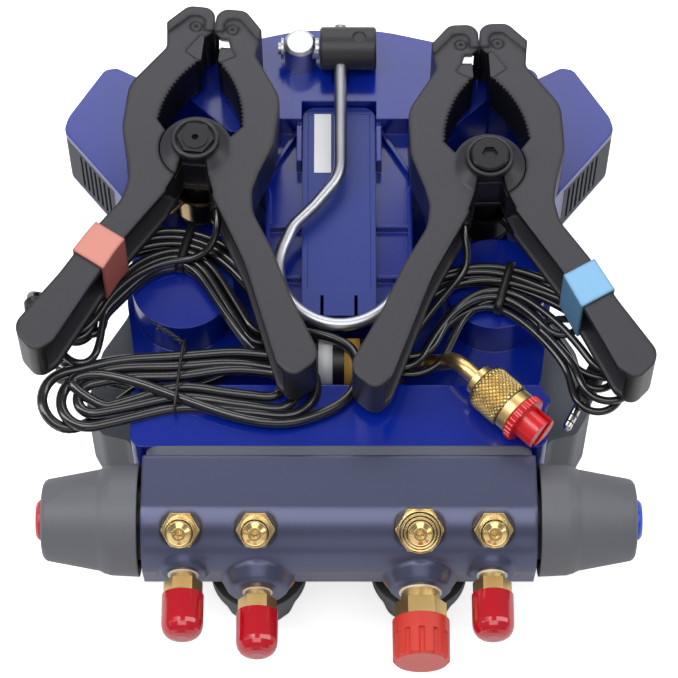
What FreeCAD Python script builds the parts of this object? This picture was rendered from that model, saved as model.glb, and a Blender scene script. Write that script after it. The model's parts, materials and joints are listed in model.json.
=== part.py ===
import FreeCAD, Part
import math
import os

# Refrigerant manifold gauge lying face down: a moulded electronic head with a folding hook,
# an aluminium valve block with brass flare ports, two spring pipe clamps and a vacuum sensor.
# X runs along the valve block, Y away from its ports, Z up out of the back of the head.
# The origin is on the front face that rests on the table, midway across, below the screen.

# Levels of the head, in millimetres above the table
FACE_RIM_Z = 0.0
FACE_Z = 2.0
FACE_THICK = 3.0
PARTING_Z = 44.0
FLOOR_Z = 55.0
TRAY_Z = 71.0
POD_TOP_Z = 74.3
DOOR_Z = 78.0
PLATE_Z = 78.0
WING_Z = 80.0
PLATEAU_Z = 82.0
WALL = 2.5
SEAT_GAP = 0.3
CUT_OVER = 1.0
CUT_LONG = 40.0

# Outline of the front shell, right half from top to bottom: x, y and corner radius
FRONT_HALF = [
    (16.0, 130.6, 70.0),
    (46.0, 123.0, 70.0),
    (80.0, 110.6, 5.0),
    (82.2, 47.0, 8.0),
    (84.0, 19.0, 12.0),
    (94.0, 2.5, 10.0),
    (99.5, -22.0, 5.0),
    (93.0, -33.8, 4.0),
    (82.0, -36.5, 4.0),
    (79.6, -46.0, 4.0),
    (79.6, -55.7, 2.0),
]
# Outline of the rear shell below the waist, where it stands inside the front shell
REAR_LOWER_HALF = [
    (84.0, 19.0, 12.0),
    (81.5, 2.0, 8.0),
    (79.0, -15.5, 4.0),
    (75.5, -26.5, 3.0),
    (81.0, -36.0, 2.0),
    (77.8, -40.5, 2.0),
    (79.0, -46.0, 3.0),
    (79.0, -55.7, 8.0),
]
HEAD_END_Y = -55.7
# Raised forms on the back of the head, right half
PLATEAU_FRONT_HALF = [
    (81.0, 97.8, 3.0),
    (60.5, 97.8, 3.0),
    (43.5, 82.0, 3.0),
    (28.8, 82.0, 1.0),
    (28.8, 88.0, 0.5),
]
TRAY_HALF = [(60.5, 98.5, 1.0), (42.5, 80.7, 4.0), (29.0, 60.0, 6.0), (29.0, 0.0, 3.0)]
WING_LOW_Z = 47.0
WING_CORNERS = [
    (78.5, 106.0, 1.0),
    (80.0, 108.2, 1.0),
    (90.0, 113.6, 4.0),
    (94.8, 112.6, 4.0),
    (108.5, 90.0, 12.0),
    (110.0, 83.5, 5.0),
    (88.0, 56.0, 6.0),
    (82.0, 47.5, 3.0),
    (78.5, 47.5, 1.0),
]
WING_SIDE_CORNER = WING_CORNERS[5]
WING_NEAR_CORNER = WING_CORNERS[6]
WING_PASSAGE = (77.0, 83.0, 62.0, 100.0)
POD_CENTRE = (61.0, 17.0)
POD_RADIUS = 20.0
TROUGH_NEAR_Y = -29.4
RIM_THICK = 1.8
RIM_HIGH = POD_TOP_Z - TRAY_Z
RIB_THICK = 1.6
RIB_YS = (20.0, 43.0)
SLANT_RIB_LONG = 26.0
SLANT_RIB_TURN = 30.0
SLANT_RIB_FAR_Y = 90.0

# Rubber grips on the wings
GRIP_THICK = 1.8
GRIP_LOW_Z = 48.5
GRIP_HIGH_Z = 76.5
GRIP_INNER_X = 84.0
GRIP_OUTER_X = 120.0
GRIP_NEAR_Y = 57.5
GRIP_FAR_Y = 112.0
GRIP_GROOVE_START = 6.0
GRIP_GROOVE_MARGIN = 2.5
GRIP_GROOVES = 7
GRIP_GROOVE_WIDE = 1.5
GRIP_GROOVE_PITCH = 3.1
GRIP_GROOVE_DEEP = 1.1

# Battery compartment, four small cells in two columns under a latched door
DOOR_WIDE = 29.0
DOOR_NEAR_Y = 0.7
DOOR_FAR_Y = 96.0
DOOR_WALL = 1.8
DOOR_CLEARANCE = 0.4
DOOR_LATCH_WIDE = 12.0
DOOR_LATCH_LONG = 9.0
DOOR_SLOT = 1.2
DOOR_FAR_CORNER = 5.0
DOOR_NEAR_CORNER = 2.0
LABEL_MARGIN_X = 2.2
LABEL_NEAR_Y = 12.5
LABEL_MARGIN_Y = 3.0
LABEL_DEEP = 0.3
CELL_RADIUS = 5.25
CELL_LONG = 44.5
CELL_PITCH_X = 10.8
CELL_AXIS_Z = 63.0
CELL_END_GAP = 0.5
BOX_FLOOR = 2.0
BOX_NEAR_MARGIN = 1.35
BOX_SKIN = 2.0
NOTCH_WALL_NEAR_Y = 70.0
NOTCH_NEAR_Y = -1.0
CELL_CAP_RADIUS = 1.9
CELL_CAP_LONG = 0.8

# Screen, keys and circuit board in the front shell
WINDOW_HALF_WIDE = 36.0
WINDOW_NEAR_Y = 10.0
WINDOW_FAR_Y = 86.0
WINDOW_RIM = 12.0
WINDOW_CORNER = 3.0
FACE_RIM_CORNER = 8.0
LENS_LAP = 3.0
LENS_CORNER = 4.0
LENS_THICK = 1.5
KEY_XS = (-26.0, 0.0, 26.0)
KEY_NAMES = ("key_left", "key_centre", "key_right")
KEY_Y = -27.0
KEY_WIDE = 18.0
KEY_DEEP = 10.0
KEY_CORNER = 3.0
KEY_PROUD = 1.0
KEY_FLANGE = 1.5
KEY_FLANGE_THICK = 1.5
KEY_CLEARANCE = 0.3
BOARD_Z = 14.0
BOARD_THICK = 1.6
BOARD_HALF_WIDE = 62.0
BOARD_NEAR_Y = -44.0
BOARD_FAR_Y = 98.0
BOARD_POST_RADIUS = 3.5
BOARD_POST_INSET = 6.0
BOARD_CORNER = 3.0
CHIPS = [(-12.0, 12.0, -24.0, 0.0, 2.0), (-45.0, -28.0, 20.0, 40.0, 3.0), (25.0, 50.0, -30.0, -18.0, 5.0)]
DISPLAY_THICK = 5.0
DISPLAY_LAP = 2.0
DISPLAY_CORNER = 1.0

# Valve block: a bar with a barrel-shaped front about the side valves' axis
BLOCK_HALF_LONG = 74.0
BLOCK_BACK_Y = -60.0
BLOCK_TOP_Z = 80.0
BLOCK_LOW_Z = 38.0
BLOCK_FLAT_Y = -73.3
BLOCK_TOE_Y = -90.0
BLOCK_CHIN_IN = 2.0
BLOCK_CHIN_HIGH = 7.0
BLOCK_END_CORNER = 1.0
VALVE_Y = -77.3
VALVE_Z = 59.0
BARREL_RADIUS = math.hypot(VALVE_Y - BLOCK_FLAT_Y, BLOCK_TOP_Z - VALVE_Z)
GASKET_INSET = 1.0
GASKET_CORNER = 6.0
GASKET_LOW_Z = 40.0
GASKET_HIGH_Z = 79.0

# Flare fittings: thread radius, hexagon across flats
QUARTER_THREAD_R = 5.556
QUARTER_HEX = 12.7
THREE_EIGHTHS_THREAD_R = 7.94
THREE_EIGHTHS_HEX = 15.9
FLARE_ANGLE = math.radians(45.0)
REST_TILT = math.radians(57.0)
REST_XS = tuple(share * BLOCK_HALF_LONG for share in (-0.797, -0.419, 0.405, 0.776))
REST_HEX_LONG = 5.0
REST_THREAD_LONG = 10.0
REST_SEAT_DEEP = 1.2
REST_RECESS_RADIUS = 7.9
BIG_REST_RECESS_RADIUS = 9.55
REST_SHANK_LONG = 6.0
REST_SHANK_INSET = 1.0
FLARE_BORE_R = 1.6
FLARE_BORE_START = 1.0
FLARE_NOSE_WALL = 0.9
PORT_XS = tuple(share * BLOCK_HALF_LONG for share in (-0.79, -0.415, 0.415, 0.777))
PORT_ZS = (59.0, 53.0, 53.0, 59.0)
PORT_FACE_YS = (-100.0, -104.5, -104.5, -100.0)
PORT_BOSS_RADIUS = 9.3
PORT_BOSS_BIG_RADIUS = 11.5
PORT_BOSS_SPREAD = 2.5
PORT_BOSS_TAPER = 6.0
PORT_BOSS_EDGE = 1.2
PORT_NECK_LONG = 3.0
PORT_HEX_LONG = 5.0
BIG_PORT_HEX = 16.9
BIG_PORT_NECK_LONG = 4.5
BIG_PORT_HEX_LONG = 7.0
PORT_THREAD_LONG = 13.0
PORT_SHANK_LONG = 8.0
PORT_SHANK_INSET = 0.6
PORT_BORE_R = 2.4

# Caps on the ports
CAP_RADIUS = 7.85
CAP_LONG = 17.5
CAP_DOME = 6.0
CAP_DOME_STEPS = 5
CAP_DOME_TURN = math.radians(80.0)
CAP_DOME_FULL = 0.6
CAP_END_GAP = 0.8
CAP_CLEARANCE = 0.25
BIG_CAP_RADIUS = 10.75
BIG_CAP_LONG = 16.5
BIG_CAP_EDGE = 1.0
BIG_CAP_COLLAR = 6.0
BIG_CAP_GROOVES = 12
BIG_CAP_GROOVE_R = 1.1
CAP_GAP = 0.3

# Side handles and front knobs: radius and distance from the skirt's inner face
HANDLE_GAP = 1.6
HANDLE_PROFILE = [(21.5, 0.0), (21.0, 10.5), (20.3, 13.0), (19.2, 15.2), (18.9, 17.0), (15.8, 33.6)]
HANDLE_NOSE = 3.0
HANDLE_NOSE_STEPS = 4
HANDLE_HOLLOW_R = 18.2
HANDLE_HOLLOW_DEEP = 13.0
HANDLE_SCOOPS = 5
SCOOP_START = 19.5
SCOOP_SLOPE = math.radians(16.0)
SCOOP_RADIUS = 19.2
SCOOP_WIDE = 15.0
INSERT_RADIUS = 7.6
INSERT_PROUD = 2.4
INSERT_DEEP = 3.0
INSERT_EDGE = 1.0
STEM_RADIUS = 4.0
STEM_CLEARANCE = 0.05
STEM_IN_BLOCK = 18.0
KNOB_STEM_IN_BLOCK = 9.0
STEM_END_GAP = 1.0
STEM_IN_HANDLE = 12.0
BONNET_RADIUS = 15.0
BONNET_LONG = 8.0
BONNET_WIDE_LONG = 4.0
BONNET_NECK_START = 4.8
BONNET_NECK_R = 9.0
KNOB_XS = (-0.419 * BLOCK_HALF_LONG, 0.419 * BLOCK_HALF_LONG)
KNOB_Y = -84.5
KNOB_START_Z = 34.6
KNOB_SCALE = 0.885
RING_INNER_R = 13.8
RING_THICK = 1.6
RING_SETBACK = 0.2

# Folding hook
POST_X = -15.6
HOOK_Y = 115.7
HOOK_Z = 91.0
POST_RADIUS = 6.4
POST_TOP_Z = 96.0
POST_CHAMFER = 1.2
PIN_RADIUS = 2.5
PIN_CLEARANCE = 0.05
PIN_LEFT_X = -24.4
CLIP_RADIUS = 4.3
CLIP_THICK = 1.0
CLIP_X = -23.2
SHOULDER_RADIUS = 4.2
BARREL_HOOK_R = 8.65
BARREL_LEFT_X = -7.6
BARREL_RIGHT_X = 14.9
BARREL_EDGE = 0.8
PIN_END_GAP = 0.4
BARREL_DIMPLE_X = 7.5
BARREL_DIMPLE_R = 2.6
BARREL_DIMPLE_DEEP = 0.8
BARREL_BORE_END_X = -3.2
ROD_RADIUS = 2.5
ROD_STUB = 1.2
ROD_X = 0.6
LOOP_RADIUS = 24.0
LOOP_Y = 19.5
LOOP_DROP = 8.7
LOOP_START_ANGLE = math.radians(158.0)
LOOP_END_ANGLE = math.radians(-20.0)
LOOP_LEAD = 9.0
ROD_KNEE = (0.0, -57.0)
ROD_ELBOW = (-10.5, -70.5)
ROD_BEND_RS = (18.0, 30.0, 14.0)
RELIEF_DEEP = 1.8
RELIEF_WIDE = 7.0
RELIEF_MARGIN = 1.0

# Spring clamps, in their own frame: pivot at the origin, jaws towards +Y, left arm
CLAMP_LOW_Z = 83.6
CLAMP_THICK = 22.0
CLAMP_HIGH_Z = CLAMP_LOW_Z + CLAMP_THICK
LEFT_PIVOT = (-55.5, 60.0)
LEFT_TURN = -6.2
RIGHT_PIVOT = (58.0, 52.0)
RIGHT_TURN = 2.5
ARM_OUTER = [
    (-0.2, 54.2, 1.0),
    (-0.2, 64.6, 6.5),
    (-11.5, 64.6, 5.0),
    (-19.0, 56.0, 1.5),
    (-17.6, 45.0, 4.0),
    (-29.9, 26.0, 14.0),
    (-29.9, 6.0, 14.0),
    (-25.4, -9.0, 12.0),
    (-23.9, -17.0, 9.0),
    (-25.4, -26.5, 16.0),
    (-35.3, -42.8, 40.0),
    (-44.2, -61.2, 60.0),
    (-58.6, -86.0, 7.0),
    (-48.6, -95.6, 6.0),
    (-42.2, -90.0, 5.0),
    (-24.9, -48.2, 60.0),
    (-8.2, -18.8, 4.0),
    (-5.6, -9.1, 4.0),
    (-3.0, -2.0, 2.0),
    (-13.0, 6.5, 1.0),
]
TEETH_START = (-17.2, 11.8)
TEETH_MIDDLE = (-14.5, 25.0)
TEETH_END = (-5.6, 39.4)
TEETH = 16
TOOTH_HIGH = 1.1
TOOTH_LEAN = 0.6
JAW_THROAT = [(-3.5, 40.4, 0.3), (-3.5, 51.4, 0.5)]
HUB_RADIUS = 14.0
HUB_CLEARANCE = 0.5
HUB_PLATE = 3.2
HUB_LAYER_GAP = 0.35
CHANNEL_SHIFT = (3.0, 1.6)
CHANNEL_REACH = (-80.0, 10.0, -120.0, -12.0)
CHANNEL_WEB = 3.0
BOSS_RADIUS = 9.0
BOSS_FOOT_R = 13.2
BOSS_FOOT_HIGH = 4.0
BOSS_HIGH = 3.2
BOSS_RECESS_R = 7.8
BOSS_RECESS_DEEP = 1.8
NOTCH_HALF = [(4.7, -5.8, 0.0), (6.0, -10.5, 0.0), (9.5, -20.0, 0.0)]
HUB_SLEEVE_R = 5.6
BOLT_RADIUS = 4.0
BOLT_CLEARANCE = 0.06
BOLT_HEAD_R = 7.4
BOLT_HEAD_PROUD = 1.5
BOLT_HEAD_EDGE = 0.7
BOLT_SOCKET_FLATS = 5.5
BOLT_SOCKET_DEEP = 1.6
BOLT_SLEEVE_R = 5.2
BOLT_END_PROUD = 0.4
NUT_HEX = 12.5
NUT_RADIUS = 5.0
NUT_HOLE_R = 1.3
TIP_PROUD = 1.3
TIP_RIM_CORNERS = [
    (-0.2, 54.2, 0.3),
    (-0.2, 64.6, 6.5),
    (-11.5, 64.6, 5.0),
    (-19.0, 56.0, 1.5),
    (-18.4, 51.3, 0.5),
    (-9.9, 60.6, 3.2),
    (-3.8, 60.6, 3.2),
    (-3.8, 54.2, 0.3),
]
PAD_CORNERS = [(-3.4, 51.6, 0.2), (-4.8, 52.3, 0.2), (-9.8, 44.1, 0.3), (-5.1, 40.7, 0.2), (-3.4, 40.6, 0.2)]
SHORT_PAD_CORNERS = [(-3.4, 46.5, 0.2), (-7.9, 46.6, 0.2), (-9.8, 43.6, 0.3)] + PAD_CORNERS[3:]
PAD_GAP = 0.15
SENSOR_CORNERS = [(-2.4, 51.6, 0.2), (-6.2, 51.6, 0.2), (-7.6, 47.3, 0.2), (-3.0, 47.1, 0.2)]
SENSOR_INSET = 1.2
TIP_SCREW_R = 1.9
TIP_SCREW_GROOVE = 0.8
TIP_SCREW_SOCKET_R = 0.8
TIP_SCREW_AT = (-7.3, 56.0)
TIP_SCREW_DEEP = 0.8
BOOT_X = 10.5
BOOT_START_Y = -14.5
BOOT_END_Y = -21.0
BOOT_RADIUS = 3.2
BOOT_TIP_R = 2.7
BOOT_RIBS = 2
BOOT_RIB_DEEP = 0.4
BOOT_SADDLE_WIDE = 3.0
BOOT_SADDLE_START = 4.5
BOOT_SADDLE_END = 1.5
SPRING_RADIUS = 9.2
SPRING_WIRE_R = 0.9
SPRING_TURNS = 7
SPRING_LOW_Z = 64.0
SPRING_LEG_LONG = 10.0
SPRING_LEG_ANGLE = 36.0
SPRING_FLANGE_R = 10.2
SPRING_FLANGE_THICK = 1.5
PEG_RADIUS = 1.8
PEG_REACH = 16.7
PEG_GAP = 0.1
BAND_WALL = 0.9
BAND_GAP = 0.15
LEFT_BAND_AT = (-30.2, -48.0)
RIGHT_BAND_AT = (-36.0, -53.0)
BAND_TURN = -28.0
BAND_WIDE = 15.0

# Vacuum sensor in the trough, its brass tube and the coupler lying on the lower plate
VACUUM_Y = -13.0
VACUUM_RADIUS = 9.5
VACUUM_LEFT_X = -20.0
VACUUM_RIGHT_X = 17.0
VACUUM_EDGE = 1.0
VACUUM_NOSE_R = 6.0
VACUUM_NOSE_TIP_R = 4.2
VACUUM_NOSE_LONG = 7.0
VACUUM_HEX = 15.9
VACUUM_HEX_LONG = 8.0
VACUUM_TUBE_R = 3.2
VACUUM_BEND_X = 38.0
VACUUM_BEND_BACK = 14.0
VACUUM_TUBE_LAP = 1.0
COUPLER_TUBE_LAP = 2.0
VACUUM_BEND_RS = (8.0, 12.0)
COUPLER_AT = (54.6, -33.6)
COUPLER_RADIUS = 8.6
COUPLER_LONG = 19.0
COUPLER_EDGE = 0.8
COUPLER_NECK_R = 6.0
COUPLER_NECK_LONG = 3.0
COUPLER_HEADING = math.radians(-45.0)
PLUG_RIM_R = 9.0
PLUG_RIM_LONG = 3.0
PLUG_BODY_R = 6.6
PLUG_BODY_LONG = 8.0
PLUG_SLOT = 4.2
PLUG_SLOT_FLOOR = 1.0

# Cords: their hanks and plugs
HANK_LOW_Z = POD_TOP_Z + SEAT_GAP
HANK_HIGH_Z = 82.2
HANK_END_ROUND = 0.8
LEFT_HANK = [
    (-100.0, -11.0),
    (-100.0, 3.0),
    (-93.0, 14.0),
    (-84.0, 24.0),
    (-72.5, 30.8),
    (-60.0, 32.0),
    (-48.5, 25.0),
    (-38.0, 10.0),
    (-30.0, -4.0),
    (-24.0, -15.0),
]
LEFT_HANK_HALF_WIDE = [10.0, 11.0, 10.0, 9.0, 8.5, 8.5, 9.0, 9.0, 9.0, 9.0]
RIGHT_HANK = [
    (23.5, -20.0),
    (29.0, -8.0),
    (39.0, 5.5),
    (52.0, 12.5),
    (64.5, 12.5),
    (78.0, 5.5),
    (90.0, -5.0),
    (98.0, -17.0),
    (101.0, -28.0),
]
RIGHT_HANK_HALF_WIDE = [8.0, 9.0, 9.5, 9.0, 8.5, 9.0, 11.0, 12.5, 12.0]
VACUUM_HANK_LOW_Z = 78.3
VACUUM_HANK_HIGH_Z = 83.2
VACUUM_HANK = [
    (-114.0, -21.0, 6.0),
    (-106.0, -16.0, 5.0),
    (-86.0, -18.5, 5.0),
    (-74.0, -27.5, 5.0),
    (-14.0, -27.5, 5.0),
    (-6.0, -33.0, 5.0),
    (-10.0, -42.0, 8.0),
    (-40.0, -46.0, 20.0),
    (-80.0, -44.0, 12.0),
    (-108.0, -37.0, 12.0),
]
JACK_BODY_R = 4.0
JACK_BODY_LONG = 19.0
JACK_TAIL_R = 3.0
JACK_TAPER = 3.0
JACK_PIN_R = 1.75
JACK_TIP_R = 0.7
JACK_TIP_LONG = 1.5
JACK_PIN_LONG = 14.0
LEFT_JACK_AT = (-120.4, 11.5, HANK_LOW_Z - JACK_BODY_R)
LEFT_JACK_TURN = -64.0
RIGHT_JACK_AT = (101.5, -15.9, HANK_LOW_Z - JACK_BODY_R)
RIGHT_JACK_TURN = -117.5
CONNECTOR_RADIUS = 5.0
CONNECTOR_TAIL_R = 3.0
CONNECTOR_TAPER = 3.0
CONNECTOR_EDGE = 1.5
CONNECTOR_AT = (-93.0, -20.0, HANK_LOW_Z - JACK_BODY_R - JACK_PIN_R - SEAT_GAP - CONNECTOR_RADIUS)
CONNECTOR_TURN = 165.0
CONNECTOR_LONG = 17.0


def vec(x, y, z=0.0):
    return FreeCAD.Vector(x, y, z)


X_AXIS = vec(1, 0, 0)
Y_AXIS = vec(0, 1, 0)
Z_AXIS = vec(0, 0, 1)


def rounded_wire(corners, z=0.0):
    """A closed wire through (x, y, radius) corners, each rounded by an arc that touches both its sides."""
    turns = []
    count = len(corners)
    for i in range(count):
        corner = vec(corners[i][0], corners[i][1], z)
        back = vec(corners[i - 1][0], corners[i - 1][1], z) - corner
        ahead = vec(corners[(i + 1) % count][0], corners[(i + 1) % count][1], z) - corner
        room = 0.49 * min(back.Length, ahead.Length)
        back.normalize()
        ahead.normalize()
        half_turn = (math.pi - back.getAngle(ahead)) / 2
        reach = min(corners[i][2] * math.tan(half_turn), room)
        if reach < 0.01:
            turns.append((corner, None, corner))
            continue
        radius = reach / math.tan(half_turn)
        towards = (back + ahead).normalize()
        middle = corner + towards * (radius / math.cos(half_turn) - radius)
        turns.append((corner + back * reach, middle, corner + ahead * reach))
    edges = []
    for i in range(count):
        start, middle, end = turns[i]
        if middle is not None:
            edges.append(Part.Arc(start, middle, end).toShape())
        after = turns[(i + 1) % count][0]
        if (after - end).Length > 0.001:
            edges.append(Part.LineSegment(end, after).toShape())
    return Part.Wire(edges)


def prism(corners, low, high):
    return Part.Face(rounded_wire(corners, low)).extrude(vec(0, 0, high - low))


def inset_prism(corners, amount, low, high):
    """The prism inside another one, drawn in from its sides by a wall."""
    face = Part.Face(rounded_wire(corners, low)).makeOffset2D(-amount)
    return face.extrude(vec(0, 0, high - low))


def both_sides(half):
    """A whole outline from its right half, listed from top to bottom."""
    return half + [(-x, y, r) for x, y, r in reversed(half)]


def mirrored(corners):
    return [(-x, y, r) for x, y, r in reversed(corners)]


def box(x0, x1, y0, y1, z0, z1):
    return Part.makeBox(x1 - x0, y1 - y0, z1 - z0, vec(x0, y0, z0))


def rod(radius, start, along, length):
    return Part.makeCylinder(radius, length, start, along)


def turned(profile, start, along):
    """A solid of revolution from (radius, distance) points, its axis from start along the direction."""
    points = [vec(r, 0, d) for r, d in profile]
    points = [vec(0, 0, profile[0][1])] + points + [vec(0, 0, profile[-1][1])]
    edges = []
    for i in range(len(points)):
        after = points[(i + 1) % len(points)]
        if (after - points[i]).Length > 0.001:
            edges.append(Part.LineSegment(points[i], after).toShape())
    solid = Part.Face(Part.Wire(edges)).revolve(vec(0, 0, 0), Z_AXIS, 360)
    return placed(solid, start, along)


def placed(shape, start, along):
    """A shape drawn up the Z axis, moved so that it stands at start and points along the direction."""
    copy = shape.copy()
    turn = FreeCAD.Rotation(Z_AXIS, along)
    copy.Placement = FreeCAD.Placement(start, turn)
    return copy


def hexagon(across_flats, start, along, length):
    radius = across_flats / 2 / math.cos(math.pi / 6)
    points = [vec(radius * math.cos(i * math.pi / 3), radius * math.sin(i * math.pi / 3)) for i in range(7)]
    solid = Part.Face(Part.makePolygon(points)).extrude(vec(0, 0, length))
    return placed(solid, start, along)


def fused(shapes):
    whole = shapes[0]
    if len(shapes) > 1:
        whole = whole.fuse(shapes[1:])
    return whole.removeSplitter()


def bent_edges(corners, radii):
    """Straight runs joined by arcs that touch both runs, each arc no wider than its runs have room for."""
    edges = []
    last = corners[0]
    for i in range(1, len(corners) - 1):
        back = corners[i - 1] - corners[i]
        ahead = corners[i + 1] - corners[i]
        room = 0.48 * min(back.Length, ahead.Length)
        back.normalize()
        ahead.normalize()
        half_turn = (math.pi - back.getAngle(ahead)) / 2
        reach = min(radii[i - 1] * math.tan(half_turn), room)
        radius = reach / math.tan(half_turn)
        towards = (back + ahead).normalize()
        middle = corners[i] + towards * (radius / math.cos(half_turn) - radius)
        start = corners[i] + back * reach
        edges.append(Part.LineSegment(last, start).toShape())
        last = corners[i] + ahead * reach
        edges.append(Part.Arc(start, middle, last).toShape())
    edges.append(Part.LineSegment(last, corners[-1]).toShape())
    return edges


def swept(edges, start, along, radius):
    """A round bar along a path."""
    ring = Part.Wire(Part.Circle(start, along, radius).toShape())
    return Part.Wire(edges).makePipeShell([ring], True, False)


def band(line, half_widths, low, high):
    """A flat bundle that follows a line of points, with rounded ends."""
    left = []
    right = []
    for i in range(len(line)):
        before = line[max(i - 1, 0)]
        after = line[min(i + 1, len(line) - 1)]
        along = vec(after[0] - before[0], after[1] - before[1]).normalize()
        wide = half_widths[i]
        left.append((line[i][0] - along.y * wide, line[i][1] + along.x * wide, 2 * wide))
        right.append((line[i][0] + along.y * wide, line[i][1] - along.x * wide, 2 * wide))
    for side in (left, right):
        for end in (0, -1):
            side[end] = (side[end][0], side[end][1], half_widths[end] * HANK_END_ROUND)
    return prism(left + right[::-1], low, high)


# Rear shell of the head

def rear_outline():
    return both_sides([c for c in FRONT_HALF if c[1] > REAR_LOWER_HALF[0][1]] + REAR_LOWER_HALF)


def raised_forms():
    """Each raised form of the rear shell as its outline, its foot and its top."""
    plateau = FRONT_HALF[:3] + PLATEAU_FRONT_HALF
    lower_half = [(76.4, TROUGH_NEAR_Y, 2.0)] + REAR_LOWER_HALF[4:]
    return [
        (rear_outline(), PARTING_Z, FLOOR_Z),
        (both_sides(plateau), PARTING_Z, PLATEAU_Z),
        (both_sides(TRAY_HALF), PARTING_Z, TRAY_Z),
        (both_sides(lower_half), PARTING_Z, PLATE_Z),
    ]


def tray_rim():
    """The low wall round the tray and the ribs that stiffen it."""
    outline = both_sides(TRAY_HALF)
    low = TRAY_Z - WALL
    high = TRAY_Z + RIM_HIGH
    parts = [prism(outline, low, high).cut(inset_prism(outline, RIM_THICK, low, high))]
    side = DOOR_WIDE / 2 + DOOR_CLEARANCE
    neck = TRAY_HALF[-1][0]
    for y in RIB_YS:
        for start, end in ((-neck, -side), (side, neck)):
            parts.append(box(start, end, y - RIB_THICK / 2, y + RIB_THICK / 2, low, high))
    for hand in (-1, 1):
        rib = box(0.0, RIB_THICK, -SLANT_RIB_LONG, 0.0, low, high)
        rib.rotate(vec(0, 0), Z_AXIS, SLANT_RIB_TURN * hand)
        rib.translate(vec(hand * (side + SEAT_GAP) - RIB_THICK / 2, SLANT_RIB_FAR_Y))
        parts.append(rib)
    return parts


def battery_box_size():
    half = CELL_PITCH_X / 2 + CELL_RADIUS + CELL_END_GAP
    near = DOOR_NEAR_Y + BOX_NEAR_MARGIN
    long = 2 * (CELL_LONG + CELL_CAP_LONG + 2 * CELL_END_GAP)
    return half, near, near + long, CELL_AXIS_Z - CELL_RADIUS - SEAT_GAP


def make_rear_housing():
    outer = []
    inner = []
    for corners, low, top in raised_forms():
        outer.append(prism(corners, low, top))
        inner.append(inset_prism(corners, WALL, low, top - WALL))
    for corners in (WING_CORNERS, mirrored(WING_CORNERS)):
        outer.append(prism(corners, WING_LOW_Z, WING_Z))
        inner.append(inset_prism(corners, WALL, WING_LOW_Z + WALL, WING_Z - WALL))
    for hand in (-1, 1):
        centre = vec(hand * POD_CENTRE[0], POD_CENTRE[1], PARTING_Z)
        outer.append(rod(POD_RADIUS, centre, Z_AXIS, POD_TOP_Z - PARTING_Z))
        inner.append(rod(POD_RADIUS - WALL, centre, Z_AXIS, POD_TOP_Z - PARTING_Z - WALL))
    inside, outside, near, far = WING_PASSAGE
    for start, end in ((inside, outside), (-outside, -inside)):
        inner.append(box(start, end, near, far, WING_LOW_Z + WALL, FLOOR_Z - WALL))
    half, near, far, floor = battery_box_size()
    skin = BOX_SKIN
    walls = box(-half - skin, half + skin, near - skin, far + skin, floor - BOX_FLOOR, TRAY_Z)
    shell = fused(outer).cut(fused(inner))
    door_side = DOOR_WIDE / 2 + DOOR_CLEARANCE
    door_far = DOOR_FAR_Y + DOOR_CLEARANCE
    notch_high = PLATEAU_Z - WALL
    notch_side = door_side + skin
    notch_wall = box(-notch_side, notch_side, NOTCH_WALL_NEAR_Y, door_far + skin, TRAY_Z - WALL, notch_high)
    shell = fused([shell, walls, notch_wall] + tray_rim())
    shell = shell.cut(box(-half, half, near, far, floor, TRAY_Z + CUT_OVER))
    shell = shell.cut(box(-door_side, door_side, NOTCH_NEAR_Y, door_far, TRAY_Z, PLATEAU_Z + CUT_OVER))
    shell = shell.cut(hook_relief())
    for grip in grip_bodies():
        shell = shell.cut(grip)
    return shell.removeSplitter()


def hook_relief():
    """The shallow trough under the hook's barrel that lets the rod's end swing past."""
    reach = BARREL_HOOK_R + ROD_STUB + RELIEF_MARGIN
    return box(
        ROD_X - RELIEF_WIDE / 2,
        ROD_X + RELIEF_WIDE / 2,
        HOOK_Y - reach,
        HOOK_Y + reach,
        PLATEAU_Z - RELIEF_DEEP,
        PLATEAU_Z + CUT_OVER,
    )


def grip_bodies():
    """The strips round the outer edges of the wings that the rubber grips fill."""
    face = Part.Face(rounded_wire(WING_CORNERS, GRIP_LOW_Z))
    ring = face.cut(face.makeOffset2D(-GRIP_THICK))
    strip = ring.extrude(vec(0, 0, GRIP_HIGH_Z - GRIP_LOW_Z))
    strip = strip.common(box(GRIP_INNER_X, GRIP_OUTER_X, GRIP_NEAR_Y, GRIP_FAR_Y, GRIP_LOW_Z, GRIP_HIGH_Z))
    return [strip, strip.mirror(vec(0, 0), X_AXIS)]


def make_side_grips():
    right = grip_bodies()[0]
    near = vec(WING_NEAR_CORNER[0], WING_NEAR_CORNER[1])
    along = (vec(WING_SIDE_CORNER[0], WING_SIDE_CORNER[1]) - near).normalize()
    high = GRIP_HIGH_Z - GRIP_LOW_Z - 2 * GRIP_GROOVE_MARGIN
    half = GRIP_GROOVE_WIDE / 2
    for i in range(GRIP_GROOVES):
        at = near + along * (GRIP_GROOVE_START + i * GRIP_GROOVE_PITCH)
        groove = box(-GRIP_THICK, GRIP_GROOVE_DEEP, -half, half, 0.0, high)
        groove.rotate(vec(0, 0), Z_AXIS, math.degrees(math.atan2(along.x, -along.y)))
        groove.translate(vec(at.x, at.y, GRIP_LOW_Z + GRIP_GROOVE_MARGIN))
        right = right.cut(groove)
    left = right.mirror(vec(0, 0), X_AXIS)
    return Part.makeCompound(right.Solids + left.Solids)


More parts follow.
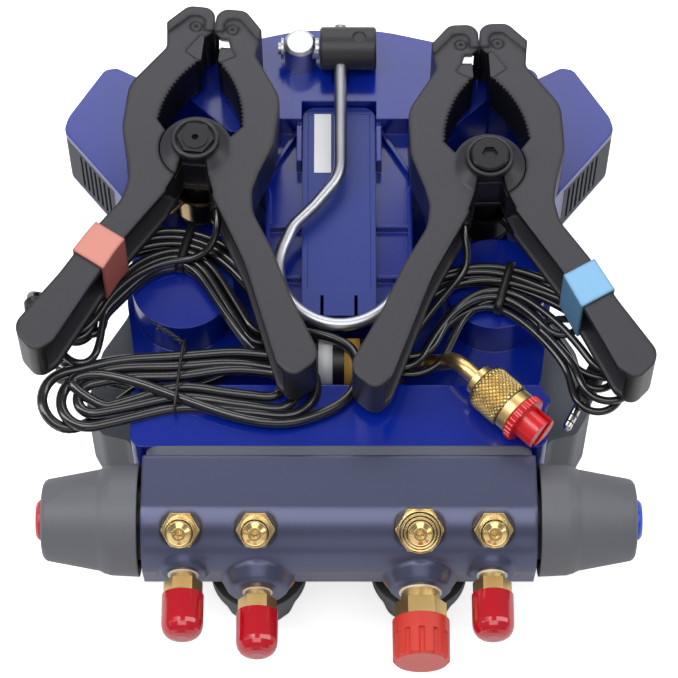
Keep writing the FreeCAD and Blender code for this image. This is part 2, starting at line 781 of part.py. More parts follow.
def make_battery_door():
    half = DOOR_WIDE / 2
    corners = both_sides([(half, DOOR_FAR_Y, DOOR_FAR_CORNER), (half, DOOR_NEAR_Y, DOOR_NEAR_CORNER)])
    door = prism(corners, TRAY_Z, DOOR_Z)
    door = door.cut(inset_prism(corners, DOOR_WALL, TRAY_Z, DOOR_Z - DOOR_WALL))
    for hand in (-1, 1):
        x = hand * (DOOR_LATCH_WIDE / 2 + DOOR_SLOT / 2)
        near = DOOR_NEAR_Y - CUT_OVER
        far = DOOR_NEAR_Y + DOOR_LATCH_LONG
        door = door.cut(box(x - DOOR_SLOT / 2, x + DOOR_SLOT / 2, near, far, TRAY_Z, DOOR_Z + CUT_OVER))
    side = half - LABEL_MARGIN_X
    label_far = DOOR_FAR_Y - LABEL_MARGIN_Y
    return door.cut(box(-side, side, LABEL_NEAR_Y, label_far, DOOR_Z - LABEL_DEEP, DOOR_Z + CUT_OVER))


def make_batteries():
    near = battery_box_size()[1]
    cells = []
    for x in (-CELL_PITCH_X / 2, CELL_PITCH_X / 2):
        for row in range(2):
            start = near + CELL_END_GAP + row * (CELL_LONG + CELL_CAP_LONG + CELL_END_GAP)
            profile = [
                (CELL_RADIUS, 0.0),
                (CELL_RADIUS, CELL_LONG),
                (CELL_CAP_RADIUS, CELL_LONG),
                (CELL_CAP_RADIUS, CELL_LONG + CELL_CAP_LONG),
            ]
            cells.append(turned(profile, vec(x, start, CELL_AXIS_Z), Y_AXIS))
    return Part.makeCompound(cells)


# Front shell, screen and keys

def make_front_housing():
    outline = both_sides(FRONT_HALF)
    shell = prism(outline, FACE_Z, PARTING_Z)
    shell = shell.cut(inset_prism(outline, WALL, FACE_Z + FACE_THICK, PARTING_Z - WALL))
    shell = shell.cut(inset_prism(rear_outline(), WALL, FACE_Z + FACE_THICK, PARTING_Z))
    wide = WINDOW_HALF_WIDE + WINDOW_RIM
    near = WINDOW_NEAR_Y - WINDOW_RIM
    far = WINDOW_FAR_Y + WINDOW_RIM
    rim_corners = both_sides([(wide, far, FACE_RIM_CORNER), (wide, near, FACE_RIM_CORNER)])
    rim = prism(rim_corners, FACE_RIM_Z, FACE_Z)
    post_x = BOARD_HALF_WIDE - BOARD_POST_INSET
    posts = []
    for x in (-post_x, post_x):
        for y in (BOARD_NEAR_Y + BOARD_POST_INSET, BOARD_FAR_Y - BOARD_POST_INSET):
            posts.append(rod(BOARD_POST_RADIUS, vec(x, y, FACE_Z), Z_AXIS, BOARD_Z - FACE_Z))
    shell = fused([shell, rim] + posts)
    window = prism(window_corners(0.0, WINDOW_CORNER), FACE_RIM_Z - CUT_OVER, BOARD_Z)
    shell = shell.cut(window).cut(make_screen_lens())
    for x in KEY_XS:
        top = FACE_Z + FACE_THICK + CUT_OVER
        shell = shell.cut(prism(key_corners(x, KEY_CLEARANCE), FACE_RIM_Z - CUT_OVER, top))
    return shell


def window_corners(lap, corner):
    wide = WINDOW_HALF_WIDE + lap
    near = WINDOW_NEAR_Y - lap
    far = WINDOW_FAR_Y + lap
    return both_sides([(wide, far, corner), (wide, near, corner)])


def key_corners(x, lap):
    wide = KEY_WIDE / 2 + lap
    deep = KEY_DEEP / 2 + lap
    round_r = KEY_CORNER + lap
    corners = both_sides([(wide, KEY_Y + deep, round_r), (wide, KEY_Y - deep, round_r)])
    return [(x + side, y, r) for side, y, r in corners]


def make_screen_lens():
    top = FACE_Z + FACE_THICK
    return prism(window_corners(LENS_LAP, LENS_CORNER), top - LENS_THICK, top)


def make_display():
    low = FACE_Z + FACE_THICK + SEAT_GAP
    return prism(window_corners(DISPLAY_LAP, DISPLAY_CORNER), low, low + DISPLAY_THICK)


def make_key(x):
    inside = FACE_Z + FACE_THICK
    body = prism(key_corners(x, 0.0), FACE_Z - KEY_PROUD, inside + SEAT_GAP)
    flange_low = inside + SEAT_GAP
    flange = prism(key_corners(x, KEY_FLANGE), flange_low, flange_low + KEY_FLANGE_THICK)
    return fused([body, flange])


def make_circuit_board():
    half = [(BOARD_HALF_WIDE, BOARD_FAR_Y, BOARD_CORNER), (BOARD_HALF_WIDE, BOARD_NEAR_Y, BOARD_CORNER)]
    top = BOARD_Z + BOARD_THICK
    board = prism(both_sides(half), BOARD_Z, top)
    chips = [box(x0, x1, y0, y1, top, top + high) for x0, x1, y0, y1, high in CHIPS]
    return fused([board] + chips)


# Valve block and its fittings

def block_section():
    """The closed profile of the valve block in the YZ plane, its front round about the side valves' axis."""
    x = -BLOCK_HALF_LONG
    start = vec(x, BLOCK_FLAT_Y, BLOCK_TOP_Z)
    slant = (math.atan2(BLOCK_TOP_Z - VALVE_Z, BLOCK_FLAT_Y - VALVE_Y) + math.pi) / 2
    middle = vec(x, VALVE_Y + BARREL_RADIUS * math.cos(slant), VALVE_Z + BARREL_RADIUS * math.sin(slant))
    end = vec(x, VALVE_Y - BARREL_RADIUS, VALVE_Z)
    low = vec(x, VALVE_Y - BARREL_RADIUS + BLOCK_CHIN_IN, BLOCK_LOW_Z + BLOCK_CHIN_HIGH)
    toe = vec(x, BLOCK_TOE_Y, BLOCK_LOW_Z)
    heel = vec(x, BLOCK_BACK_Y, BLOCK_LOW_Z)
    top = vec(x, BLOCK_BACK_Y, BLOCK_TOP_Z)
    lines = [(end, low), (low, toe), (toe, heel), (heel, top), (top, start)]
    edges = [Part.Arc(start, middle, end).toShape()]
    edges += [Part.LineSegment(a, b).toShape() for a, b in lines]
    return Part.Face(Part.Wire(edges))


def rest_axis():
    return vec(0, -math.cos(REST_TILT), math.sin(REST_TILT))


def rest_seat(x, deep=0.0):
    along = rest_axis()
    return vec(x, VALVE_Y, VALVE_Z) + along * (BARREL_RADIUS - deep)


def rest_sizes(i):
    if i == 2:
        return THREE_EIGHTHS_THREAD_R, THREE_EIGHTHS_HEX
    return QUARTER_THREAD_R, QUARTER_HEX


def make_manifold_block():
    block = block_section().extrude(vec(2 * BLOCK_HALF_LONG, 0, 0))
    beyond = min(PORT_FACE_YS) - CUT_OVER
    plan = [(BLOCK_HALF_LONG, BLOCK_BACK_Y, BLOCK_END_CORNER), (BLOCK_HALF_LONG, beyond, BLOCK_END_CORNER)]
    block = block.common(prism(both_sides(plan), BLOCK_LOW_Z, BLOCK_TOP_Z))
    for i in range(len(PORT_XS)):
        big = i in (1, 2)
        radius = PORT_BOSS_BIG_RADIUS if big else PORT_BOSS_RADIUS
        face = PORT_FACE_YS[i]
        start = vec(PORT_XS[i], VALVE_Y, PORT_ZS[i])
        long = VALVE_Y - face
        root = radius + PORT_BOSS_SPREAD
        profile = [
            (root, 0.0),
            (root, long - PORT_BOSS_TAPER),
            (radius, long - PORT_BOSS_EDGE),
            (radius - PORT_BOSS_EDGE, long),
        ]
        block = block.fuse(turned(profile, start, -Y_AXIS))
    along = rest_axis()
    for i in range(len(REST_XS)):
        radius = REST_RECESS_RADIUS if i != 2 else BIG_REST_RECESS_RADIUS
        block = block.cut(rod(radius, rest_seat(REST_XS[i], REST_SEAT_DEEP), along, CUT_LONG))
        shank = rest_sizes(i)[0] - REST_SHANK_INSET
        deep = REST_SEAT_DEEP + REST_SHANK_LONG
        block = block.cut(rod(shank, rest_seat(REST_XS[i], deep), along, CUT_LONG))
    for i in range(len(PORT_XS)):
        shank = port_sizes(i)[0] - PORT_SHANK_INSET
        start = vec(PORT_XS[i], PORT_FACE_YS[i] + PORT_SHANK_LONG, PORT_ZS[i])
        block = block.cut(rod(shank, start, -Y_AXIS, CUT_LONG))
    for hand in (-1, 1):
        start = vec(hand * (BLOCK_HALF_LONG - STEM_IN_BLOCK - STEM_END_GAP), VALVE_Y, VALVE_Z)
        block = block.cut(rod(STEM_RADIUS + STEM_CLEARANCE, start, X_AXIS * hand, CUT_LONG))
    for x in KNOB_XS:
        start = vec(x, KNOB_Y, BLOCK_LOW_Z + KNOB_STEM_IN_BLOCK + STEM_END_GAP)
        block = block.cut(rod(STEM_RADIUS + STEM_CLEARANCE, start, -Z_AXIS, CUT_LONG))
    return block.removeSplitter()


def make_gasket():
    wide = BLOCK_HALF_LONG - GASKET_INSET
    middle = (GASKET_LOW_Z + GASKET_HIGH_Z) / 2
    half = (GASKET_HIGH_Z - GASKET_LOW_Z) / 2
    corners = both_sides([(wide, half, GASKET_CORNER), (wide, -half, GASKET_CORNER)])
    plate = prism(corners, 0.0, HEAD_END_Y - BLOCK_BACK_Y)
    plate.rotate(vec(0, 0), X_AXIS, 90.0)
    plate.translate(vec(0, HEAD_END_Y, middle))
    return plate


def flare_nipple(seat, along, thread_r, hex_flats, neck, hex_long, thread_long, shank, bore):
    """A male flare fitting: a shank in the block, a neck, a hexagon and a thread with a cone nose."""
    nose_r = bore + FLARE_NOSE_WALL
    nose = (thread_r - nose_r) * math.tan(FLARE_ANGLE)
    start = neck + hex_long
    profile = [
        (thread_r, start),
        (thread_r, start + thread_long - nose),
        (nose_r, start + thread_long),
    ]
    parts = [rod(shank[0], seat - along * shank[1], along, shank[1] + start)]
    parts.append(turned(profile, seat, along))
    parts.append(hexagon(hex_flats, seat + along * neck, along, hex_long))
    body = fused(parts)
    return body.cut(rod(bore, seat + along * (start + FLARE_BORE_START), along, thread_long))


def make_hose_rests():
    along = rest_axis()
    found = []
    for i in range(len(REST_XS)):
        thread_r, flats = rest_sizes(i)
        seat = rest_seat(REST_XS[i], REST_SEAT_DEEP)
        shank = (thread_r - REST_SHANK_INSET, REST_SHANK_LONG)
        lengths = (0.0, REST_HEX_LONG, REST_THREAD_LONG)
        found.append(flare_nipple(seat, along, thread_r, flats, *lengths, shank, FLARE_BORE_R))
    return Part.makeCompound(found)


def port_sizes(i):
    if i == 2:
        return THREE_EIGHTHS_THREAD_R, BIG_PORT_HEX
    return QUARTER_THREAD_R, QUARTER_HEX


def port_lengths(i):
    """How long a port's neck and hexagon are."""
    if i == 2:
        return BIG_PORT_NECK_LONG, BIG_PORT_HEX_LONG
    return PORT_NECK_LONG, PORT_HEX_LONG


def port_seat(i):
    return vec(PORT_XS[i], PORT_FACE_YS[i], PORT_ZS[i])


def make_port_fittings():
    found = []
    for i in range(len(PORT_XS)):
        thread_r, flats = port_sizes(i)
        shank = (thread_r - PORT_SHANK_INSET, PORT_SHANK_LONG)
        lengths = port_lengths(i) + (PORT_THREAD_LONG,)
        found.append(flare_nipple(port_seat(i), -Y_AXIS, thread_r, flats, *lengths, shank, PORT_BORE_R))
    return Part.makeCompound(found)


def make_cap(i):
    """A cap over a port's thread: a domed vinyl one, or the grooved plastic nut of the large port."""
    thread_r = port_sizes(i)[0]
    start = port_seat(i) - Y_AXIS * (sum(port_lengths(i)) + CAP_GAP)
    inside = thread_r + CAP_CLEARANCE
    deep = PORT_THREAD_LONG + CAP_END_GAP
    if i != 2:
        straight = CAP_LONG - CAP_DOME
        profile = [(CAP_RADIUS, 0.0), (CAP_RADIUS, straight)]
        for step in range(1, CAP_DOME_STEPS + 1):
            angle = CAP_DOME_TURN * step / CAP_DOME_STEPS
            radius = CAP_RADIUS * math.cos(angle) ** CAP_DOME_FULL
            profile.append((radius, straight + CAP_DOME * math.sin(angle)))
        cap = turned(profile, start, -Y_AXIS)
        return cap.cut(rod(inside, start, -Y_AXIS, deep))
    profile = [
        (BIG_CAP_RADIUS, 0.0),
        (BIG_CAP_RADIUS, BIG_CAP_LONG - BIG_CAP_EDGE),
        (BIG_CAP_RADIUS - BIG_CAP_EDGE, BIG_CAP_LONG),
    ]
    cap = turned(profile, start, -Y_AXIS)
    for step in range(BIG_CAP_GROOVES):
        angle = 2 * math.pi * step / BIG_CAP_GROOVES
        side = vec(BIG_CAP_RADIUS * math.cos(angle), -BIG_CAP_COLLAR, BIG_CAP_RADIUS * math.sin(angle))
        cap = cap.cut(rod(BIG_CAP_GROOVE_R, start + side, -Y_AXIS, BIG_CAP_LONG))
    return cap.cut(rod(inside, start, -Y_AXIS, deep))


# Valve stems, bonnets and handles

def valve_places():
    """Each valve's start on the block and the way that it points."""
    return {
        "left": (vec(-BLOCK_HALF_LONG, VALVE_Y, VALVE_Z), -X_AXIS, 1.0),
        "right": (vec(BLOCK_HALF_LONG, VALVE_Y, VALVE_Z), X_AXIS, 1.0),
        "front_left": (vec(KNOB_XS[0], KNOB_Y, BLOCK_LOW_Z), -Z_AXIS, KNOB_SCALE),
        "front_right": (vec(KNOB_XS[1], KNOB_Y, BLOCK_LOW_Z), -Z_AXIS, KNOB_SCALE),
    }


def handle_gap(name):
    """How far the handle's skirt stands off the block."""
    if name in ("left", "right"):
        return HANDLE_GAP
    return BLOCK_LOW_Z - KNOB_START_Z


def make_bonnets():
    found = []
    for name, (start, along, scale) in valve_places().items():
        gap = handle_gap(name)
        profile = [
            (BONNET_RADIUS * scale, 0.0),
            (BONNET_RADIUS * scale, gap + BONNET_WIDE_LONG),
            (BONNET_NECK_R * scale, gap + BONNET_NECK_START),
            (BONNET_NECK_R * scale, gap + BONNET_LONG),
        ]
        bonnet = turned(profile, start, along)
        found.append(bonnet.cut(rod(STEM_RADIUS + STEM_CLEARANCE, start, along, CUT_LONG)))
    return Part.makeCompound(found)


def make_stem(name):
    start, along, scale = valve_places()[name]
    inside = STEM_IN_BLOCK if scale == 1.0 else KNOB_STEM_IN_BLOCK
    outside = handle_gap(name) + HANDLE_HOLLOW_DEEP * scale + STEM_IN_HANDLE * scale
    return rod(STEM_RADIUS, start - along * inside, along, inside + outside)


def make_handle(name):
    start, along, scale = valve_places()[name]
    rim = start + along * handle_gap(name)
    end = HANDLE_PROFILE[-1][1] + HANDLE_NOSE
    profile = [(r * scale, d * scale) for r, d in HANDLE_PROFILE]
    for step in range(1, HANDLE_NOSE_STEPS + 1):
        angle = math.pi / 2 * step / HANDLE_NOSE_STEPS
        radius = HANDLE_PROFILE[-1][0] - HANDLE_NOSE + HANDLE_NOSE * math.cos(angle)
        profile.append((radius * scale, (HANDLE_PROFILE[-1][1] + HANDLE_NOSE * math.sin(angle)) * scale))
    handle = turned(profile, vec(0, 0), Z_AXIS)
    handle = handle.cut(rod(HANDLE_HOLLOW_R * scale, vec(0, 0), Z_AXIS, HANDLE_HOLLOW_DEEP * scale))
    deep = (HANDLE_HOLLOW_DEEP + STEM_IN_HANDLE) * scale
    handle = handle.cut(rod(STEM_RADIUS, vec(0, 0), Z_AXIS, deep))
    for i in range(HANDLE_SCOOPS):
        half = SCOOP_WIDE * scale / 2
        scoop = box(0.0, CUT_LONG, -half, half, 0.0, CUT_LONG)
        scoop.rotate(vec(0, 0), Y_AXIS, -math.degrees(SCOOP_SLOPE))
        scoop.translate(vec(SCOOP_RADIUS * scale, 0, SCOOP_START * scale))
        scoop.rotate(vec(0, 0), Z_AXIS, 90.0 + i * 360.0 / HANDLE_SCOOPS)
        handle = handle.cut(scoop)
    seat = rod(INSERT_RADIUS * scale, vec(0, 0, (end - INSERT_DEEP) * scale), Z_AXIS, CUT_LONG)
    handle = handle.cut(seat)
    return placed(handle, rim, along)


def make_insert(name):
    start, along, scale = valve_places()[name]
    end = HANDLE_PROFILE[-1][1] + HANDLE_NOSE
    proud = INSERT_PROUD if scale == 1.0 else 0.0
    radius = INSERT_RADIUS * scale
    high = (INSERT_DEEP + proud) * scale
    profile = [(radius, 0.0), (radius, high - INSERT_EDGE), (radius - INSERT_EDGE, high)]
    base = start + along * (handle_gap(name) + (end - INSERT_DEEP) * scale)
    return turned(profile, base, along)


def make_ring(x):
    """The coloured ring inside a front knob's skirt."""
    start = vec(x, KNOB_Y, KNOB_START_Z - RING_SETBACK)
    outer = HANDLE_HOLLOW_R * KNOB_SCALE
    ring = rod(outer, start, -Z_AXIS, RING_THICK)
    return ring.cut(rod(RING_INNER_R, start, -Z_AXIS, RING_THICK))


# Folding hook

def make_hook_post():
    profile = [
        (POST_RADIUS, PLATEAU_Z),
        (POST_RADIUS, POST_TOP_Z - POST_CHAMFER),
        (POST_RADIUS - POST_CHAMFER, POST_TOP_Z),
    ]
    post = turned(profile, vec(POST_X, HOOK_Y, 0), Z_AXIS)
    pin = rod(PIN_RADIUS, vec(PIN_LEFT_X, HOOK_Y, HOOK_Z), X_AXIS, BARREL_BORE_END_X - PIN_LEFT_X)
    clip = rod(CLIP_RADIUS, vec(CLIP_X, HOOK_Y, HOOK_Z), X_AXIS, CLIP_THICK)
    shoulder = rod(SHOULDER_RADIUS, vec(POST_X, HOOK_Y, HOOK_Z), X_AXIS, BARREL_LEFT_X - SEAT_GAP - POST_X)
    return fused([post, pin, clip, shoulder])


def make_hook_barrel():
    long = BARREL_RIGHT_X - BARREL_LEFT_X
    edge = BARREL_EDGE
    profile = [
        (BARREL_HOOK_R - edge, 0.0),
        (BARREL_HOOK_R, edge),
        (BARREL_HOOK_R, long - edge),
        (BARREL_HOOK_R - edge, long),
    ]
    barrel = turned(profile, vec(BARREL_LEFT_X, HOOK_Y, HOOK_Z), X_AXIS)
    bore_long = BARREL_BORE_END_X - BARREL_LEFT_X + PIN_END_GAP
    bore_at = vec(BARREL_LEFT_X, HOOK_Y, HOOK_Z)
    barrel = barrel.cut(rod(PIN_RADIUS + PIN_CLEARANCE, bore_at, X_AXIS, bore_long))
    dimple_at = vec(ROD_X + BARREL_DIMPLE_X, HOOK_Y, HOOK_Z + BARREL_HOOK_R - BARREL_DIMPLE_DEEP)
    barrel = barrel.cut(rod(BARREL_DIMPLE_R, dimple_at, Z_AXIS, CUT_LONG))
    return barrel.cut(rod_path_start())


def rod_slope():
    """The slope of the rod from the barrel down to the battery door."""
    return math.atan2(LOOP_DROP, HOOK_Y - LOOP_Y)


def rod_path_start():
    back = vec(0, math.cos(rod_slope()), math.sin(rod_slope()))
    start = vec(ROD_X, HOOK_Y, HOOK_Z) + back * (BARREL_HOOK_R + ROD_STUB)
    return rod(ROD_RADIUS, start, -back, 2 * (BARREL_HOOK_R + ROD_STUB))


def make_hook_rod():
    """A straight rod from the barrel that bends aside and closes round as a hook, all in one sloping plane."""
    stub = vec(0.0, BARREL_HOOK_R + ROD_STUB)
    centre = vec(0.0, -(HOOK_Y - LOOP_Y) / math.cos(rod_slope()))
    meet = centre + loop_spoke(LOOP_START_ANGLE)
    corner = meet + vec(math.sin(LOOP_START_ANGLE), -math.cos(LOOP_START_ANGLE)) * LOOP_LEAD
    edges = bent_edges([stub, vec(*ROD_KNEE), vec(*ROD_ELBOW), corner, meet], ROD_BEND_RS)
    low = centre + loop_spoke(-math.pi / 2)
    edges.append(Part.Arc(meet, low, centre + loop_spoke(LOOP_END_ANGLE)).toShape())
    solid = swept(edges, stub, Y_AXIS, ROD_RADIUS)
    solid.rotate(vec(0, 0), X_AXIS, math.degrees(rod_slope()))
    solid.translate(vec(ROD_X, HOOK_Y, HOOK_Z))
    return solid


def loop_spoke(angle):
    return vec(LOOP_RADIUS * math.cos(angle), LOOP_RADIUS * math.sin(angle))


# Spring clamps

def arm_corners(with_teeth):
    """The outline of the left arm, with or without the teeth of its jaw."""
    curve = Part.Arc(vec(*TEETH_START), vec(*TEETH_MIDDLE), vec(*TEETH_END)).toShape()
    roots = curve.discretize(TEETH + 1)
    corners = list(ARM_OUTER)
    for root, after in zip(roots[:-1], roots[1:]):
        corners.append((root.x, root.y, 0.0))
        if with_teeth:
            step = after - root
            tip = root + step * TOOTH_LEAN + vec(step.y, -step.x).normalize() * TOOTH_HIGH
            corners.append((tip.x, tip.y, 0.0))
    corners.append((roots[-1].x, roots[-1].y, 0.0))
    return corners + JAW_THROAT


def hub_levels():
    low_in = CLAMP_LOW_Z + HUB_PLATE + HUB_LAYER_GAP
    high_in = CLAMP_HIGH_Z - HUB_PLATE - HUB_LAYER_GAP
    return low_in, high_in


def arm_body(pad_corners):
    """One arm with its channel, the raised rim of its tip, the tip's screw and the socket of the jaw pad."""
    low, high = CLAMP_LOW_Z, CLAMP_HIGH_Z
    arm = prism(arm_corners(True), low, high)
    channel = prism(arm_corners(False), low + CHANNEL_WEB, high - CHANNEL_WEB)
    channel.translate(vec(*CHANNEL_SHIFT))
    channel = channel.common(box(*CHANNEL_REACH, low, high))
    arm = arm.cut(channel).fuse(prism(TIP_RIM_CORNERS, low - TIP_PROUD, high + TIP_PROUD))
    socket = Part.Face(rounded_wire(pad_corners, low - CUT_OVER)).makeOffset2D(PAD_GAP)
    arm = arm.cut(socket.extrude(vec(0, 0, high - low + 2 * CUT_OVER)))
    screw_at = vec(TIP_SCREW_AT[0], TIP_SCREW_AT[1], high - TIP_SCREW_DEEP)
    groove = rod(TIP_SCREW_R + TIP_SCREW_GROOVE, screw_at, Z_AXIS, TIP_SCREW_DEEP + CUT_OVER)
    groove = groove.cut(rod(TIP_SCREW_R, screw_at, Z_AXIS, TIP_SCREW_DEEP))
    return arm.cut(groove).cut(rod(TIP_SCREW_SOCKET_R, screw_at, Z_AXIS, TIP_SCREW_DEEP))


def hub_notch():
    """The gap between the handles where it runs into the hub, up to the sleeve round the bolt."""
    corners = both_sides(NOTCH_HALF)
    high = CLAMP_HIGH_Z + BOSS_FOOT_HIGH
    notch = prism(corners, CLAMP_LOW_Z - CUT_OVER, high)
    return notch.cut(rod(HUB_SLEEVE_R, vec(0, 0, CLAMP_LOW_Z - CUT_OVER), Z_AXIS, high))


def spring_leg_direction(hand):
    angle = math.radians(270.0 + hand * SPRING_LEG_ANGLE)
    return vec(math.cos(angle), math.sin(angle))


def spring_leg_z(hand):
    """The leg that pushes the moving arm leaves the coil at its top, the other one at its foot."""
    if hand < 0:
        return SPRING_LOW_Z + (2 * SPRING_TURNS - 1) * SPRING_WIRE_R
    return SPRING_LOW_Z + SPRING_WIRE_R


def spring_peg(leg_z):
    """The peg under the left arm that the spring's leg pushes outwards."""
    along = spring_leg_direction(-1)
    out = vec(along.y, -along.x)
    at = along * PEG_REACH + out * (SPRING_WIRE_R + PEG_RADIUS + PEG_GAP)
    low = leg_z - SPRING_WIRE_R - PEG_GAP
    return rod(PEG_RADIUS, vec(at.x, at.y, low), Z_AXIS, CLAMP_LOW_Z + CHANNEL_WEB / 2 - low)


def make_fixed_arm():
    """The arm that carries the bolt: two outer hub plates with the other arm's hub between them."""
    low_in, high_in = hub_levels()
    start = low_in - HUB_LAYER_GAP
    room = rod(HUB_RADIUS + HUB_CLEARANCE, vec(0, 0, start), Z_AXIS, high_in + HUB_LAYER_GAP - start)
    arm = arm_body(SHORT_PAD_CORNERS).cut(room)
    arm = arm.cut(prism(SENSOR_CORNERS, CLAMP_LOW_Z - CUT_OVER, CLAMP_HIGH_Z + CUT_OVER))
    foot = [(BOSS_FOOT_R, 0.0), (BOSS_RADIUS, BOSS_FOOT_HIGH), (BOSS_RADIUS, BOSS_FOOT_HIGH + BOSS_HIGH)]
    plates = [
        rod(HUB_RADIUS, vec(0, 0, CLAMP_LOW_Z), Z_AXIS, HUB_PLATE),
        rod(HUB_RADIUS, vec(0, 0, CLAMP_HIGH_Z - HUB_PLATE), Z_AXIS, HUB_PLATE),
        turned(foot, vec(0, 0, CLAMP_HIGH_Z), Z_AXIS),
    ]
    arm = fused([arm] + plates).cut(hub_notch())
    arm = arm.fuse(spring_peg(spring_leg_z(1)))
    top = CLAMP_HIGH_Z + BOSS_FOOT_HIGH + BOSS_HIGH
    recess = rod(BOSS_RECESS_R, vec(0, 0, top - BOSS_RECESS_DEEP), Z_AXIS, BOSS_RECESS_DEEP + CUT_OVER)
    return arm.cut(recess).cut(rod(BOLT_RADIUS, vec(0, 0, CLAMP_LOW_Z - CUT_OVER), Z_AXIS, top))


def make_moving_arm():
    low_in, high_in = hub_levels()
    arm = arm_body(PAD_CORNERS)
    ring = HUB_RADIUS + HUB_CLEARANCE
    low = CLAMP_LOW_Z - TIP_PROUD
    arm = arm.cut(rod(ring, vec(0, 0, low), Z_AXIS, low_in - low))
    arm = arm.cut(rod(ring, vec(0, 0, high_in), Z_AXIS, CLAMP_HIGH_Z - high_in + TIP_PROUD))
    arm = fused([arm, rod(HUB_RADIUS, vec(0, 0, low_in), Z_AXIS, high_in - low_in)]).cut(hub_notch())
    arm = arm.fuse(spring_peg(spring_leg_z(-1)))
    return arm.cut(rod(BOLT_RADIUS + BOLT_CLEARANCE, vec(0, 0, CLAMP_LOW_Z), Z_AXIS, CLAMP_HIGH_Z))


def make_spring():
    """A torsion spring round the bolt's sleeve: its coils as one rippled ring, and a leg along each handle."""
    high = 2 * SPRING_TURNS * SPRING_WIRE_R
    valley = SPRING_RADIUS + SPRING_WIRE_R / 2
    outer = []
    for i in range(SPRING_TURNS):
        z = i * 2 * SPRING_WIRE_R
        outer += [(valley, z), (SPRING_RADIUS + SPRING_WIRE_R, z + SPRING_WIRE_R)]
    outer.append((valley, high))
    coil = turned(outer, vec(0, 0, SPRING_LOW_Z), Z_AXIS)
    coil = coil.cut(rod(SPRING_RADIUS - SPRING_WIRE_R, vec(0, 0, SPRING_LOW_Z), Z_AXIS, high))
    legs = []
    for hand in (-1, 1):
        along = spring_leg_direction(hand)
        start = vec(0, 0, spring_leg_z(hand)) + along * SPRING_RADIUS
        legs.append(rod(SPRING_WIRE_R, start, along, SPRING_LEG_LONG))
    return fused([coil] + legs)


def make_bolt(style):
    """The bolt, and below the arms the sleeve and flange that carry the spring."""
    seat = CLAMP_HIGH_Z + BOSS_FOOT_HIGH + BOSS_HIGH - BOSS_RECESS_DEEP
    low = SPRING_LOW_Z - SEAT_GAP - SPRING_FLANGE_THICK
    parts = [
        rod(BOLT_RADIUS, vec(0, 0, low), Z_AXIS, seat - low),
        rod(BOLT_SLEEVE_R, vec(0, 0, low), Z_AXIS, CLAMP_LOW_Z - SEAT_GAP - low),
        rod(SPRING_FLANGE_R, vec(0, 0, low), Z_AXIS, SPRING_FLANGE_THICK),
    ]
    if style == "head":
        high = BOSS_RECESS_DEEP + BOLT_HEAD_PROUD
        edge = BOLT_HEAD_EDGE
        profile = [(BOLT_HEAD_R, 0.0), (BOLT_HEAD_R, high - edge), (BOLT_HEAD_R - edge, high)]
        parts.append(turned(profile, vec(0, 0, seat), Z_AXIS))
        socket = hexagon(BOLT_SOCKET_FLATS, vec(0, 0, seat + high - BOLT_SOCKET_DEEP), Z_AXIS, high)
        return fused(parts).cut(socket)
    parts.append(hexagon(NUT_HEX, vec(0, 0, seat), Z_AXIS, BOSS_RECESS_DEEP))
    parts.append(rod(NUT_RADIUS, vec(0, 0, seat), Z_AXIS, BOSS_RECESS_DEEP + BOLT_END_PROUD))
    return fused(parts).cut(rod(NUT_HOLE_R, vec(0, 0, seat), Z_AXIS, BOSS_RECESS_DEEP + CUT_OVER))


def make_pad(corners):
    """The jaw pad that slides into the arm's socket."""
    return prism(corners, CLAMP_LOW_Z, CLAMP_HIGH_Z)


def make_sensor_plate():
    """The metal piece between the jaws that feels the pipe's temperature."""
    return prism(SENSOR_CORNERS, CLAMP_LOW_Z + SENSOR_INSET, CLAMP_HIGH_Z - SENSOR_INSET)


def make_boot():
    """The ribbed cord boot, held by a saddle inside the fixed arm's channel; drawn for a fixed right arm."""
    middle = (CLAMP_LOW_Z + CLAMP_HIGH_Z) / 2
    long = BOOT_START_Y - BOOT_END_Y
    pitch = long / (2 * BOOT_RIBS + 1)
    profile = []
    for i in range(2 * BOOT_RIBS + 1):
        share = i / (2 * BOOT_RIBS)
        radius = BOOT_RADIUS + (BOOT_TIP_R - BOOT_RADIUS) * share
        if i % 2:
            radius -= BOOT_RIB_DEEP
        profile += [(radius, i * pitch), (radius, (i + 1) * pitch)]
    boot = turned(profile, vec(BOOT_X, BOOT_START_Y, middle), -Y_AXIS)
    low = CLAMP_LOW_Z + CHANNEL_WEB
    high = CLAMP_HIGH_Z - CHANNEL_WEB
    side = BOOT_SADDLE_WIDE / 2
    saddle = box(
        BOOT_X - side,
        BOOT_X + side,
        BOOT_START_Y - BOOT_SADDLE_START,
        BOOT_START_Y - BOOT_SADDLE_END,
        low,
        high,
    )
    return fused([boot, saddle])


def make_colour_band(at):
    """A sleeve of tape round the left handle."""
    low = CLAMP_LOW_Z - BAND_GAP
    high = CLAMP_HIGH_Z + BAND_GAP
    around = Part.Face(rounded_wire(arm_corners(False), low - BAND_WALL)).makeOffset2D(BAND_WALL + BAND_GAP)
    around = around.extrude(vec(0, 0, high - low + 2 * BAND_WALL))
    skin = BAND_WALL + CUT_OVER
    half = CUT_LONG / 2
    reach = box(-half, half, -BAND_WIDE / 2, BAND_WIDE / 2, low - skin, high + skin)
    reach.rotate(vec(0, 0), Z_AXIS, BAND_TURN)
    reach.translate(vec(at[0], at[1]))
    inside = Part.Face(rounded_wire(arm_corners(False), low)).makeOffset2D(BAND_GAP)
    return around.common(reach).cut(inside.extrude(vec(0, 0, high - low)))


def set_down(shape, pivot, turn, flip=False):
    copy = shape.copy()
    if flip:
        copy = copy.mirror(vec(0, 0), X_AXIS)
    copy.rotate(vec(0, 0), Z_AXIS, turn)
    copy.translate(vec(pivot[0], pivot[1]))
    return copy


